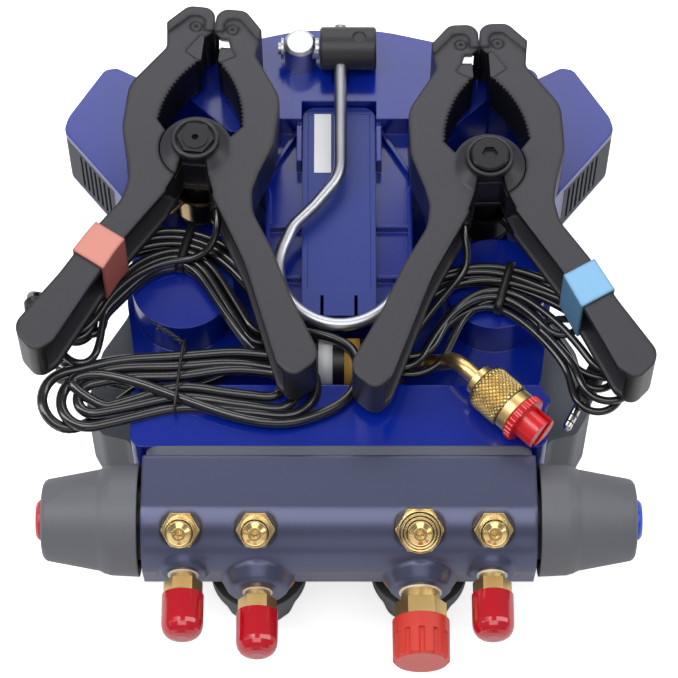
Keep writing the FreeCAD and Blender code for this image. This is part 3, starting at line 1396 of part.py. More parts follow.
def clamp_nodes(side, pivot, turn, band_at, style):
    """All the pieces of one clamp. The inner arm lies still and the outer one turns on the bolt."""
    fixed_flip = side == "left"
    moving_flip = not fixed_flip
    name = "clamp_" + side
    boot = make_boot()
    if moving_flip:
        boot = boot.mirror(vec(0, 0), X_AXIS)
    fixed_tip = Part.makeCompound([make_pad(SHORT_PAD_CORNERS), make_sensor_plate()])
    moving_tip = make_pad(PAD_CORNERS)
    return {
        name + "_inner_arm": set_down(make_fixed_arm(), pivot, turn, fixed_flip),
        name + "_outer_arm": set_down(make_moving_arm(), pivot, turn, moving_flip),
        name + "_bolt": set_down(make_bolt(style), pivot, turn),
        name + "_spring": set_down(make_spring(), pivot, turn, moving_flip),
        name + "_cord_boot": set_down(boot, pivot, turn),
        name + "_inner_tip": set_down(fixed_tip, pivot, turn, fixed_flip),
        name + "_outer_tip": set_down(moving_tip, pivot, turn, moving_flip),
        name + "_colour_band": set_down(make_colour_band(band_at), pivot, turn, moving_flip),
    }


# Vacuum sensor

def vacuum_axis_z():
    return FLOOR_Z + VACUUM_RADIUS + SEAT_GAP


def coupler_axis():
    return vec(math.cos(COUPLER_HEADING), math.sin(COUPLER_HEADING))


def coupler_start():
    return vec(COUPLER_AT[0], COUPLER_AT[1], PLATE_Z + PLUG_RIM_R + SEAT_GAP)


def make_vacuum_sensor():
    start = vec(VACUUM_LEFT_X, VACUUM_Y, vacuum_axis_z())
    long = VACUUM_RIGHT_X - VACUUM_LEFT_X
    profile = [
        (VACUUM_NOSE_TIP_R, -VACUUM_NOSE_LONG),
        (VACUUM_NOSE_R, 0.0),
        (VACUUM_RADIUS - VACUUM_EDGE, 0.0),
        (VACUUM_RADIUS, VACUUM_EDGE),
        (VACUUM_RADIUS, long - VACUUM_EDGE),
        (VACUUM_RADIUS - VACUUM_EDGE, long),
    ]
    return turned(profile, start, X_AXIS)


def make_vacuum_fitting():
    """The hexagon on the sensor, the bent tube that climbs out of the trough and the round coupler."""
    z = vacuum_axis_z()
    hex_start = vec(VACUUM_RIGHT_X, VACUUM_Y, z)
    hexagonal = hexagon(VACUUM_HEX, hex_start, X_AXIS, VACUUM_HEX_LONG)
    tube_start = vec(VACUUM_RIGHT_X + VACUUM_HEX_LONG - VACUUM_TUBE_LAP, VACUUM_Y, z)
    along = coupler_axis()
    neck = coupler_start() - along * COUPLER_NECK_LONG
    first = vec(VACUUM_BEND_X, VACUUM_Y, z)
    second = coupler_start() - along * VACUUM_BEND_BACK
    edges = bent_edges([tube_start, first, second, neck + along * COUPLER_TUBE_LAP], VACUUM_BEND_RS)
    bent = swept(edges, tube_start, X_AXIS, VACUUM_TUBE_R)
    profile = [
        (COUPLER_NECK_R, -COUPLER_NECK_LONG),
        (COUPLER_NECK_R, 0.0),
        (COUPLER_RADIUS - COUPLER_EDGE, 0.0),
        (COUPLER_RADIUS, COUPLER_EDGE),
        (COUPLER_RADIUS, COUPLER_LONG - COUPLER_EDGE),
        (COUPLER_RADIUS - COUPLER_EDGE, COUPLER_LONG),
    ]
    coupler = turned(profile, coupler_start(), along)
    return fused([hexagonal, bent, coupler])


def make_coupler_plug():
    along = coupler_axis()
    start = coupler_start() + along * COUPLER_LONG
    profile = [
        (PLUG_RIM_R, 0.0),
        (PLUG_RIM_R, PLUG_RIM_LONG),
        (PLUG_BODY_R, PLUG_RIM_LONG),
        (PLUG_BODY_R, PLUG_RIM_LONG + PLUG_BODY_LONG),
    ]
    plug = turned(profile, start, along)
    half = PLUG_SLOT / 2
    slot = box(-half, half, -CUT_LONG, CUT_LONG, PLUG_RIM_LONG + PLUG_SLOT_FLOOR, CUT_LONG)
    return plug.cut(placed(slot, start, along))


# Cords and what is on them

def make_jack(at, turn):
    profile = [
        (JACK_TAIL_R, 0.0),
        (JACK_BODY_R, JACK_TAPER),
        (JACK_BODY_R, JACK_BODY_LONG),
        (JACK_PIN_R, JACK_BODY_LONG),
        (JACK_PIN_R, JACK_BODY_LONG + JACK_PIN_LONG - JACK_TIP_LONG),
        (JACK_TIP_R, JACK_BODY_LONG + JACK_PIN_LONG),
    ]
    angle = math.radians(turn)
    return turned(profile, vec(*at), vec(math.cos(angle), math.sin(angle)))


def make_connector():
    angle = math.radians(CONNECTOR_TURN)
    profile = [
        (CONNECTOR_TAIL_R, 0.0),
        (CONNECTOR_RADIUS, CONNECTOR_TAPER),
        (CONNECTOR_RADIUS, CONNECTOR_LONG - CONNECTOR_EDGE),
        (CONNECTOR_RADIUS - CONNECTOR_EDGE, CONNECTOR_LONG),
    ]
    return turned(profile, vec(*CONNECTOR_AT), vec(math.cos(angle), math.sin(angle)))


def cord_nodes():
    return {
        "cord_hank_left": band(LEFT_HANK, LEFT_HANK_HALF_WIDE, HANK_LOW_Z, HANK_HIGH_Z),
        "cord_hank_right": band(RIGHT_HANK, RIGHT_HANK_HALF_WIDE, HANK_LOW_Z, HANK_HIGH_Z),
        "cord_hank_vacuum": prism(VACUUM_HANK, VACUUM_HANK_LOW_Z, VACUUM_HANK_HIGH_Z),
        "jack_left": make_jack(LEFT_JACK_AT, LEFT_JACK_TURN),
        "jack_right": make_jack(RIGHT_JACK_AT, RIGHT_JACK_TURN),
        "vacuum_connector": make_connector(),
    }


def all_nodes():
    nodes = {
        "rear_housing": make_rear_housing(),
        "front_housing": make_front_housing(),
        "side_grips": make_side_grips(),
        "battery_door": make_battery_door(),
        "batteries": make_batteries(),
        "circuit_board": make_circuit_board(),
        "display_module": make_display(),
        "screen_lens": make_screen_lens(),
        "manifold_block": make_manifold_block(),
        "block_gasket": make_gasket(),
        "port_fittings": make_port_fittings(),
        "hose_rests": make_hose_rests(),
        "valve_bonnets": make_bonnets(),
        "hook_post": make_hook_post(),
        "hook_barrel": make_hook_barrel(),
        "hook_rod": make_hook_rod(),
        "vacuum_sensor": make_vacuum_sensor(),
        "vacuum_fitting": make_vacuum_fitting(),
        "coupler_plug": make_coupler_plug(),
    }
    for name, x in zip(KEY_NAMES, KEY_XS):
        nodes[name] = make_key(x)
    for i, name in enumerate(("port_cap_1", "port_cap_2", "port_cap_large", "port_cap_4")):
        nodes[name] = make_cap(i)
    for name in ("left", "right", "front_left", "front_right"):
        nodes["handle_" + name] = make_handle(name)
        nodes["stem_" + name] = make_stem(name)
    for name in ("left", "right"):
        nodes["insert_" + name] = make_insert(name)
    for name, x in zip(("left", "right"), KNOB_XS):
        nodes["knob_ring_" + name] = make_ring(x)
    nodes.update(clamp_nodes("left", LEFT_PIVOT, LEFT_TURN, LEFT_BAND_AT, "nut"))
    nodes.update(clamp_nodes("right", RIGHT_PIVOT, RIGHT_TURN, RIGHT_BAND_AT, "head"))
    nodes.update(cord_nodes())
    return nodes


os.makedirs("parts", exist_ok=True)
for node, shape in all_nodes().items():
    if not shape.isValid() or not shape.Solids:
        print("not a good solid:", node)
    shape.exportStep("parts/" + node + ".step")
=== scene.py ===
import json
import math
import bpy
from mathutils import Matrix, Vector

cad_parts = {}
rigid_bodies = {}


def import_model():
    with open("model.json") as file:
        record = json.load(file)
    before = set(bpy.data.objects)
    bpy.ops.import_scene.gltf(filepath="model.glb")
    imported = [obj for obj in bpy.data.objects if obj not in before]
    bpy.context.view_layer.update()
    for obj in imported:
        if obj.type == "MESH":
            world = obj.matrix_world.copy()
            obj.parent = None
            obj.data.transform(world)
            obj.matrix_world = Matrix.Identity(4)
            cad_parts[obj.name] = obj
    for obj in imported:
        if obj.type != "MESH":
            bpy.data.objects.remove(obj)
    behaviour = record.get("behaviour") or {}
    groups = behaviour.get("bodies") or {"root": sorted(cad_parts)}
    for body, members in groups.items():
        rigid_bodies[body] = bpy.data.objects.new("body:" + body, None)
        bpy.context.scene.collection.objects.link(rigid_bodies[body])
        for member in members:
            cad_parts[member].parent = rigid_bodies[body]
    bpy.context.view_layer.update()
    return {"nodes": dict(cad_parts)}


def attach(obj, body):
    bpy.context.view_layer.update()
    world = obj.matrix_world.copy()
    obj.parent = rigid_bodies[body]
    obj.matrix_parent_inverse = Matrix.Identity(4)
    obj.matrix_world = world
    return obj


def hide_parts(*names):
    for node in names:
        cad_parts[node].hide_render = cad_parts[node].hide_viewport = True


# The looks of the refrigerant manifold gauge. Lengths are in millimetres here and become metres
# where a piece is made. X runs along the valve block, Y away from the ports, Z up.

MM = 0.001
ROOT = "instrument"

# Blender's own starting objects, where it has any, go first
for leftover in list(bpy.data.objects):
    bpy.data.objects.remove(leftover)
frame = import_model()

# Where the cords leave and end, and the way the jack plugs point, in degrees from X
LEFT_BOOT_END = (-47.3, 38.0, 94.6)
RIGHT_BOOT_END = (48.4, 30.6, 94.6)
SENSOR_NOSE = (-27.0, -13.0, 64.8)
LEFT_JACK_TAIL = (-120.4, 11.5, 70.6)
RIGHT_JACK_TAIL = (101.5, -15.9, 70.6)
CONNECTOR_TAIL = (-93.0, -20.0, 63.55)
LEFT_JACK_TURN = -64.0
RIGHT_JACK_TURN = -117.5
CLAMP_CORD = 3.0
VACUUM_CORD = 4.2

# Bolts of the clamps and the way the clamps are turned
LEFT_PIVOT = (-55.5, 60.0, 0.0)
LEFT_CLAMP_TURN = -6.2
RIGHT_PIVOT = (58.0, 52.0, 0.0)
RIGHT_CLAMP_TURN = 2.5

# Middle lines of the hanks, seen from above, and how far along each its tie sits
LEFT_LINE = [
    (-99.0, -12.0),
    (-100.0, 3.0),
    (-93.0, 14.0),
    (-84.0, 23.5),
    (-72.5, 29.5),
    (-60.0, 30.5),
    (-48.5, 24.0),
    (-38.0, 10.0),
    (-30.0, -4.0),
    (-24.0, -15.0),
]
RIGHT_LINE = [
    (22.5, -22.0),
    (29.0, -8.0),
    (39.0, 5.5),
    (52.0, 12.5),
    (64.5, 12.5),
    (78.0, 5.5),
    (90.0, -5.0),
    (99.0, -18.0),
    (102.0, -30.0),
]
VACUUM_LINE = [(-101.0, -36.0), (-80.0, -31.0), (-60.0, -28.5), (-38.0, -29.0), (-18.0, -32.0)]
LEFT_TIE_SHARE = 0.53
RIGHT_TIE_SHARE = 0.5
VACUUM_TIE_SHARE = 0.48

# Winding of the hanks: points to a strand and steps to a fold, how fast the strands rise and fall
# on the way out and back, turns to a layer, and how many points the leads cut off the wound part
STRAND_POINTS = 13
FOLD_STEPS = 7
OUT_RIPPLE = 0.11
BACK_RIPPLE = 0.13
LAYER_TURNS = 3
LEAD_JOIN = 2
RIGHT_END_JOIN = 8

# Ties round the hanks
TIE_WIDE = 3.2
TIE_THICK = 0.7
TIE_POINTS = 40
TIE_SQUARE = 0.5
WIRE_MIDDLE = (-60.6, -27.5, 81.6)
WIRE_REACH = (1.6, 15.2, 5.0)
WIRE_RADIUS = 0.6
WIRE_POINTS = 36
TAIL_START = (-59.6, -13.0, 80.4)
TAIL_REACH = (-11.0, 8.0, 1.4)
TAIL_RADIUS = 0.55
TAIL_POINTS = 28
TAIL_TWISTS = 5.0
TAIL_SPREAD = 9.0
TAIL_OPENS = 0.85
TAIL_WIND = 0.8
TAIL_TAPER = 0.4

# Coupler on the vacuum tube, its knurl and the milled rim of its plug
COUPLER_START = Vector((54.6, -33.6, 87.3))
COUPLER_AXIS = Vector((math.cos(math.radians(-45.0)), math.sin(math.radians(-45.0)), 0.0))
COUPLER_RADIUS = 8.6
COUPLER_LONG = 19.0
KNURL_START = 0.6
KNURL_END = 14.4
KNURL_RIDGES = 28
KNURL_SLANT = 1.65
KNURL_CLEAR = 0.02
KNURL_HIGH = 0.62
KNURL_FADE = 6.0
KNURL_AROUND = 408
KNURL_ROWS = 84
GROOVE_SHARE = 3.0
PLUG_START = COUPLER_START + COUPLER_AXIS * COUPLER_LONG
PLUG_RIM_R = 9.0
PLUG_RIM_LONG = 3.0
PLUG_BEADS = 26
BEAD_RADIUS = 0.75
BEAD_SIDES = 8
BEAD_INSET = 0.1

# Hose rests: the block's axis, the way the rests point, and their threads
BLOCK_AXIS = Vector((0.0, -77.3, 59.0))
REST_TILT = math.radians(57.0)
REST_AXIS = Vector((0.0, -math.cos(REST_TILT), math.sin(REST_TILT)))
REST_SEAT_FAR = 20.2
REST_SEAT = BLOCK_AXIS + REST_AXIS * REST_SEAT_FAR
THREAD_START = 5.2
THREAD_END = 13.2
THREAD_PITCH = 1.25
THREAD_DEPTH = 0.5

# Jack plugs and the clamps' inner tips, along their axes
PIN_START = 19.02
PIN_END = 40.0
PIN_RINGS = (22.6, 25.8, 29.0)
PIN_RING_WIDE = 0.7
PLATE_START = 46.85
PLATE_END = 60.0

# Blank label on the door, and the bands' place on the sensor's sleeve
STICKER = [(-9.9, 65.5), (-3.2, 65.5), (-3.2, 93.0), (-9.9, 93.0)]
STICKER_LOW = 77.7
STICKER_HIGH = 77.78
SENSOR_TAIL = (-20.0, -13.0, 64.8)
SENSOR_BAND_R = 9.54

# Port threads, each with its place across, height, face and radius, and the tape wound on them
PORTS = (
    (-58.5, 59.0, -100.0, 5.4),
    (-30.7, 53.0, -104.5, 5.4),
    (30.7, 53.0, -104.5, 7.8),
    (57.5, 59.0, -100.0, 5.4),
)
TAPE_OUT = 0.35
TAPE_WAVE = 0.25
TAPE_START = -1.9
TAPE_STEP = 0.25
TAPE_ROWS = 9
TAPE_TURN = 2.1
TAPE_LIFT = 0.1

# How finely strands and turned pieces are drawn
CORD_ORDER = 3
CORD_STEPS = 4
CORD_ROUNDING = 3
LINE_STEPS = 10
LATHE_SIDES = 48

# Materials
BEVEL_SAMPLES = 6
# Spread of the painted shade on walls: the rounding of the normals it reads, and how far a face looks up where
# it starts and where it is full
SIDE_ROUNDING = 2.2
TOP_LOOKS_UP = 0.75
WALL_LOOKS_UP = 0.25
COAT_ROUGHNESS = 0.12
LENS_CLEARNESS = 0.9
# Strength of the glow painted on the amber ring to lift it out of the shade under the block
RING_PAINTED_GLOW = 0.4
GRAIN_DETAIL = 3.0
CLOUD_SCALE = 60.0
CLOUD_DETAIL = 6.0


# Colours and surfaces

def tone(red, green, blue):
    """A colour as seen on a screen, from 0 to 255, turned into the linear values that light works in."""
    linear = []
    for value in (red, green, blue):
        share = value / 255.0
        linear.append(share / 12.92 if share <= 0.04045 else ((share + 0.055) / 1.055) ** 2.4)
    return (linear[0], linear[1], linear[2], 1.0)


def surface(name, colour, rough, metal=0.0, edge=0.5, grain=0.0, grain_size=1.0, coat=0.0, mottle=0.0):
    """A material with softened edges, a fine grain and slight changes of gloss.

    edge is the rounding that the light sees on corners and grain the depth of the texture, both in
    millimetres; grain_size is how many millimetres one bump spans; mottle spreads the roughness.
    """
    material = bpy.data.materials.new(name)
    material.use_nodes = True
    nodes = material.node_tree.nodes
    links = material.node_tree.links
    shader = nodes["Principled BSDF"]
    shader.inputs["Base Color"].default_value = colour
    shader.inputs["Roughness"].default_value = rough
    shader.inputs["Metallic"].default_value = metal
    shader.inputs["Coat Weight"].default_value = coat
    shader.inputs["Coat Roughness"].default_value = COAT_ROUGHNESS
    place = nodes.new("ShaderNodeTexCoord")
    normal = None
    if edge > 0.0:
        corner = nodes.new("ShaderNodeBevel")
        corner.samples = BEVEL_SAMPLES
        corner.inputs["Radius"].default_value = edge * MM
        normal = corner.outputs["Normal"]
    if grain > 0.0:
        noise = nodes.new("ShaderNodeTexNoise")
        noise.inputs["Scale"].default_value = 1.0 / (grain_size * MM)
        noise.inputs["Detail"].default_value = GRAIN_DETAIL
        links.new(place.outputs["Object"], noise.inputs["Vector"])
        bump = nodes.new("ShaderNodeBump")
        bump.inputs["Distance"].default_value = grain * MM
        bump.inputs["Strength"].default_value = 1.0
        links.new(noise.outputs["Fac"], bump.inputs["Height"])
        if normal is not None:
            links.new(normal, bump.inputs["Normal"])
        normal = bump.outputs["Normal"]
    if normal is not None:
        links.new(normal, shader.inputs["Normal"])
    if mottle > 0.0:
        cloud = nodes.new("ShaderNodeTexNoise")
        cloud.inputs["Scale"].default_value = CLOUD_SCALE
        cloud.inputs["Detail"].default_value = CLOUD_DETAIL
        links.new(place.outputs["Object"], cloud.inputs["Vector"])
        spread = nodes.new("ShaderNodeMapRange")
        spread.inputs["To Min"].default_value = rough - mottle
        spread.inputs["To Max"].default_value = rough + mottle
        links.new(cloud.outputs["Fac"], spread.inputs["Value"])
        links.new(spread.outputs["Result"], shader.inputs["Roughness"])
    return material


def reach_along(nodes, links, start, along):
    """How far each spot lies along an axis, in metres, from a start given in millimetres."""
    place = nodes.new("ShaderNodeNewGeometry")
    shift = nodes.new("ShaderNodeVectorMath")
    shift.operation = "SUBTRACT"
    links.new(place.outputs["Position"], shift.inputs[0])
    shift.inputs[1].default_value = Vector(start) * MM
    reach = nodes.new("ShaderNodeVectorMath")
    reach.operation = "DOT_PRODUCT"
    links.new(shift.outputs["Vector"], reach.inputs[0])
    reach.inputs[1].default_value = Vector(along)
    return reach.outputs["Value"]


def math_node(nodes, links, operation, first, second):
    """One sum on values, each a number or the output of another node."""
    node = nodes.new("ShaderNodeMath")
    node.operation = operation
    for place, value in enumerate((first, second)):
        if isinstance(value, (int, float)):
            node.inputs[place].default_value = value
        elif value is not None:
            links.new(value, node.inputs[place])
    return node.outputs["Value"]


def between(nodes, links, reach, first, last):
    """One where the reach lies between two distances in millimetres, and zero elsewhere."""
    above = math_node(nodes, links, "GREATER_THAN", reach, first * MM)
    below = math_node(nodes, links, "LESS_THAN", reach, last * MM)
    return math_node(nodes, links, "MULTIPLY", above, below)


def add_bands(material, start, along, first, last, pitch, depth):
    """Rings cut round an axis, such as a thread: a wave in its height, between two distances."""
    nodes = material.node_tree.nodes
    links = material.node_tree.links
    shader = nodes["Principled BSDF"]
    before = shader.inputs["Normal"].links[0].from_socket
    reach = reach_along(nodes, links, start, along)
    angle = math_node(nodes, links, "MULTIPLY", reach, 2.0 * math.pi / (pitch * MM))
    wave = math_node(nodes, links, "SINE", angle, None)
    height = math_node(nodes, links, "MULTIPLY", wave, between(nodes, links, reach, first, last))
    bump = nodes.new("ShaderNodeBump")
    bump.inputs["Distance"].default_value = depth * MM
    links.new(height, bump.inputs["Height"])
    links.new(before, bump.inputs["Normal"])
    links.new(bump.outputs["Normal"], shader.inputs["Normal"])


def blend_input(material, name, share, value):
    """Mix one input of the surface towards a value where the share is one."""
    nodes = material.node_tree.nodes
    links = material.node_tree.links
    socket = nodes["Principled BSDF"].inputs[name]
    mix = nodes.new("ShaderNodeMix")
    is_colour = name == "Base Color"
    mix.data_type = "RGBA" if is_colour else "FLOAT"
    # the mix node keeps its number and its colour sockets in one list
    low, high, out = (6, 7, 2) if is_colour else (2, 3, 0)
    links.new(share, mix.inputs[0])
    if socket.is_linked:
        links.new(socket.links[0].from_socket, mix.inputs[low])
    else:
        mix.inputs[low].default_value = socket.default_value
    mix.inputs[high].default_value = value
    links.new(mix.outputs[out], socket)


def paint(material, start, along, first, last, colour, rough, metal):
    """Another surface on the part of a piece that lies between two distances along an axis."""
    nodes = material.node_tree.nodes
    links = material.node_tree.links
    share = between(nodes, links, reach_along(nodes, links, start, along), first, last)
    blend_input(material, "Base Color", share, colour)
    blend_input(material, "Roughness", share, rough)
    blend_input(material, "Metallic", share, metal)


def paint_shade_on_walls(material, colour, rough):
    """Painted shade on the walls: a darker, smoother colour blended in by how far each face looks up, under the
    lighter grained top.
    """
    nodes = material.node_tree.nodes
    links = material.node_tree.links
    rounded = nodes.new("ShaderNodeBevel")
    rounded.samples = BEVEL_SAMPLES
    rounded.inputs["Radius"].default_value = SIDE_ROUNDING * MM
    split = nodes.new("ShaderNodeSeparateXYZ")
    links.new(rounded.outputs["Normal"], split.inputs["Vector"])
    spread = nodes.new("ShaderNodeMapRange")
    spread.inputs["From Min"].default_value = TOP_LOOKS_UP
    spread.inputs["From Max"].default_value = WALL_LOOKS_UP
    links.new(split.outputs["Z"], spread.inputs["Value"])
    blend_input(material, "Base Color", spread.outputs["Result"], colour)
    blend_input(material, "Roughness", spread.outputs["Result"], rough)


def heading(turn):
    """The level direction that is turned from X by an angle in degrees."""
    return Vector((math.cos(math.radians(turn)), math.sin(math.radians(turn)), 0.0))


def paint_groove_shade(material, colour):
    """Painted shade in the grooves of a piece whose points carry a depth of their own."""
    nodes = material.node_tree.nodes
    depth = nodes.new("ShaderNodeAttribute")
    depth.attribute_name = "groove"
    blend_input(material, "Base Color", depth.outputs["Fac"], colour)


# Clamp plastic: the colour of its tops, and a darker colour painted on its walls as shade
CLAMP_TOP = tone(52, 51, 56)
CLAMP_WALL_SHADE = tone(26, 26, 28)
CLAMP_WALL_SHADE_ROUGHNESS = 0.34
blue = surface("housing_blue", tone(7, 34, 138), 0.17, edge=0.8, grain=0.004, grain_size=0.5, coat=0.25)
door_blue = surface("door_blue", tone(24, 46, 132), 0.4, grain=0.015, grain_size=0.5, coat=0.1)
grey_shell = surface("housing_grey", tone(92, 96, 102), 0.45, grain=0.02, grain_size=0.6)
grip_grey = surface("grip_rubber", tone(60, 62, 68), 0.6, grain=0.03, grain_size=0.5)
block_grey = surface("block_anodised", tone(84, 88, 114), 0.3, metal=0.6, edge=2.0, grain=0.004, grain_size=0.4)
gasket_grey = surface("gasket_grey", tone(80, 84, 96), 0.5)
brass = surface("brass", tone(238, 204, 138), 0.33, metal=1.0, edge=0.25, mottle=0.06)
rest_brass = surface("rest_brass", tone(230, 200, 138), 0.24, metal=1.0, edge=0.25, mottle=0.06)
knurl_brass = surface("knurl_brass", tone(232, 204, 140), 0.3, metal=1.0, edge=0.0)
black_metal = surface("black_metal", tone(30, 30, 32), 0.4, metal=0.4, edge=0.3)
handle_grey = surface("handle_grey", tone(98, 99, 105), 0.5, edge=1.2, grain=0.012, grain_size=0.4)
knob_grey = surface("knob_grey", tone(58, 59, 63), 0.45, edge=1.0, grain=0.012, grain_size=0.4)
red_insert = surface("insert_red", tone(200, 46, 52), 0.35, edge=0.6, coat=0.3)
blue_insert = surface("insert_blue", tone(24, 80, 222), 0.3, edge=0.6, coat=0.3)
amber_ring = surface("ring_amber", tone(220, 144, 30), 0.35, edge=0.3)
steel = surface("stem_steel", tone(160, 160, 164), 0.3, metal=1.0, edge=0.2)
red_vinyl = surface("cap_red", tone(188, 10, 30), 0.12, edge=0.4, coat=0.6)
orange_red = surface("cap_orange_red", tone(210, 60, 48), 0.32, edge=0.5, coat=0.2)
plug_red = surface("plug_red", tone(206, 22, 30), 0.26, edge=0.4, coat=0.3)
zinc = surface("zinc", tone(196, 198, 204), 0.34, metal=1.0, edge=0.4, mottle=0.05)
barrel_black = surface("barrel_black", tone(36, 36, 39), 0.42, edge=0.5)
clamp_grey = surface("clamp_plastic", CLAMP_TOP, 0.42, edge=2.4, grain=0.03, grain_size=0.7)
tip_grey = surface("clamp_pads", CLAMP_TOP, 0.42, edge=0.2, grain=0.05, grain_size=0.7)
black_plastic = surface("black_plastic", tone(24, 24, 26), 0.4, edge=0.4)
bolt_black = surface("bolt_black", tone(40, 40, 42), 0.3, metal=0.6, edge=0.3)
spring_wire = surface("spring_wire", tone(178, 160, 122), 0.22, metal=1.0, edge=0.0)
spring_dark = surface("spring_dark", tone(30, 30, 32), 0.3, metal=0.7, edge=0.0)
salmon = surface("band_salmon", tone(212, 140, 128), 0.75, edge=2.2, grain=0.1, grain_size=1.6)
sky = surface("band_blue", tone(134, 184, 222), 0.75, edge=2.2, grain=0.1, grain_size=1.6)
label_navy = surface("label_navy", tone(22, 22, 34), 0.4, edge=0.3)
label_gold = surface("label_gold", tone(206, 160, 66), 0.4, edge=0.0)
cord_black = surface("cord_black", tone(24, 24, 27), 0.2, edge=0.0, grain=0.01, grain_size=1.5, coat=0.6)
jack_black = surface("jack_black", tone(28, 28, 30), 0.4, edge=0.4)
paper = surface("paper", tone(240, 241, 242), 0.6, edge=0.0)
tape_white = surface("tape_white", tone(240, 240, 240), 0.5, edge=0.0, grain=0.08, grain_size=1.0)
cell_grey = surface("cell_wrap", tone(40, 42, 48), 0.3, metal=0.5)
board_green = surface("board_green", tone(24, 90, 52), 0.45)
display_grey = surface("display_grey", tone(60, 66, 66), 0.3)
key_grey = surface("key_grey", tone(60, 62, 68), 0.6)
lens_clear = surface("lens_clear", tone(230, 236, 240), 0.05, edge=0.0)
lens_shader = lens_clear.node_tree.nodes["Principled BSDF"]
lens_shader.inputs["Transmission Weight"].default_value = LENS_CLEARNESS
# Painted light: the amber ring glows a little so it shows in the shade under the block, though it is no lamp
ring_shader = amber_ring.node_tree.nodes["Principled BSDF"]
ring_shader.inputs["Emission Color"].default_value = tone(210, 130, 20)
ring_shader.inputs["Emission Strength"].default_value = RING_PAINTED_GLOW
# Painted shade: the knurl's grooves are darkened the deeper they lie
paint_groove_shade(knurl_brass, tone(70, 44, 14))
add_bands(rest_brass, REST_SEAT, REST_AXIS, THREAD_START, THREAD_END, THREAD_PITCH, THREAD_DEPTH)
# Painted shade on the walls of the clamps and their pads, darker than the tops as if in shadow
paint_shade_on_walls(clamp_grey, CLAMP_WALL_SHADE, CLAMP_WALL_SHADE_ROUGHNESS)
paint_shade_on_walls(tip_grey, CLAMP_WALL_SHADE, CLAMP_WALL_SHADE_ROUGHNESS)
# Painted shade on the colour bands: each band is one colour all round, and its walls are darkened as if in
# shadow
paint_shade_on_walls(salmon, tone(170, 92, 82), 0.8)
paint_shade_on_walls(sky, tone(86, 134, 172), 0.8)


def jack_surface(name, tail, turn):
    """A jack plug: a black body, and a bright pin that dark rings part into its contacts."""
    material = surface(name, tone(28, 28, 30), 0.4, edge=0.3)
    along = heading(turn)
    paint(material, tail, along, PIN_START, PIN_END, tone(222, 218, 212), 0.16, 1.0)
    for ring in PIN_RINGS:
        paint(material, tail, along, ring, ring + PIN_RING_WIDE, tone(20, 20, 20), 0.4, 0.0)
    return material


def inner_tip_surface(name, pivot, turn):
    """The pad and the bright sensor plate behind it, told apart by how far they are from the bolt."""
    material = surface(name, CLAMP_TOP, 0.42, edge=0.2, grain=0.05, grain_size=0.7)
    # painted shade on the pad's walls, as on the clamps
    paint_shade_on_walls(material, CLAMP_WALL_SHADE, CLAMP_WALL_SHADE_ROUGHNESS)
    paint(material, pivot, heading(turn + 90.0), PLATE_START, PLATE_END, tone(214, 214, 216), 0.22, 1.0)
    return material


jack_left_surface = jack_surface("jack_left_surface", LEFT_JACK_TAIL, LEFT_JACK_TURN)
jack_right_surface = jack_surface("jack_right_surface", RIGHT_JACK_TAIL, RIGHT_JACK_TURN)
left_tip_surface = inner_tip_surface("clamp_left_inner_tip_surface", LEFT_PIVOT, LEFT_CLAMP_TURN)
right_tip_surface = inner_tip_surface("clamp_right_inner_tip_surface", RIGHT_PIVOT, RIGHT_CLAMP_TURN)

node_surface = {
    "rear_housing": blue,
    "front_housing": grey_shell,
    "side_grips": grip_grey,
    "battery_door": door_blue,
    "batteries": cell_grey,
    "circuit_board": board_green,
    "display_module": display_grey,
    "screen_lens": lens_clear,
    "manifold_block": block_grey,
    "block_gasket": gasket_grey,
    "port_fittings": brass,
    "hose_rests": rest_brass,
    "valve_bonnets": black_metal,
    "hook_post": zinc,
    "hook_barrel": barrel_black,
    "hook_rod": zinc,
    "vacuum_sensor": label_navy,
    "vacuum_fitting": brass,
    "coupler_plug": plug_red,
    "port_cap_1": red_vinyl,
    "port_cap_2": red_vinyl,
    "port_cap_4": red_vinyl,
    "port_cap_large": orange_red,
    "insert_left": red_insert,
    "insert_right": blue_insert,
    "jack_left": jack_left_surface,
    "jack_right": jack_right_surface,
    "clamp_left_inner_tip": left_tip_surface,
    "clamp_right_inner_tip": right_tip_surface,
    "clamp_left_spring": spring_wire,
    "clamp_right_spring": spring_dark,
    "handle_front_left": knob_grey,
    "handle_front_right": knob_grey,
    "vacuum_connector": jack_black,
    "clamp_left_colour_band": salmon,
    "clamp_right_colour_band": sky,
}
endings = {
    "_arm": clamp_grey,
    "_bolt": bolt_black,
    "_cord_boot": black_plastic,
    "_tip": tip_grey,
}
starts = {
    "key_": key_grey,
    "handle_": handle_grey,
    "stem_": steel,
    "knob_ring_": amber_ring,
    "cord_hank_": cord_black,
}


def surface_of(name):
    """The material of a solid: by its own name, or else by how the name ends or starts."""
    if name in node_surface:
        return node_surface[name]
    for ending, material in endings.items():
        if name.endswith(ending):
            return material
    for beginning, material in starts.items():
        if name.startswith(beginning):
            return material
    return None


for name, node in frame["nodes"].items():
    node.data.materials.clear()
    node.data.materials.append(surface_of(name))


# Making pieces

def curve_piece(name, points, radius, material, closed=False):
    """A round strand along one smooth line of points, in millimetres."""
    data = bpy.data.curves.new(name, "CURVE")
    data.dimensions = "3D"
    data.bevel_depth = radius * MM
    data.bevel_resolution = CORD_ROUNDING
    data.resolution_u = CORD_STEPS
    data.use_fill_caps = not closed
    line = data.splines.new("NURBS")
    line.points.add(len(points) - 1)
    for i, point in enumerate(points):
        line.points[i].co = (point[0] * MM, point[1] * MM, point[2] * MM, 1.0)
    line.order_u = CORD_ORDER
    line.use_cyclic_u = closed
    line.use_endpoint_u = not closed
    piece = bpy.data.objects.new(name, data)
    bpy.context.scene.collection.objects.link(piece)
    data.materials.append(material)
    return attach(piece, ROOT)


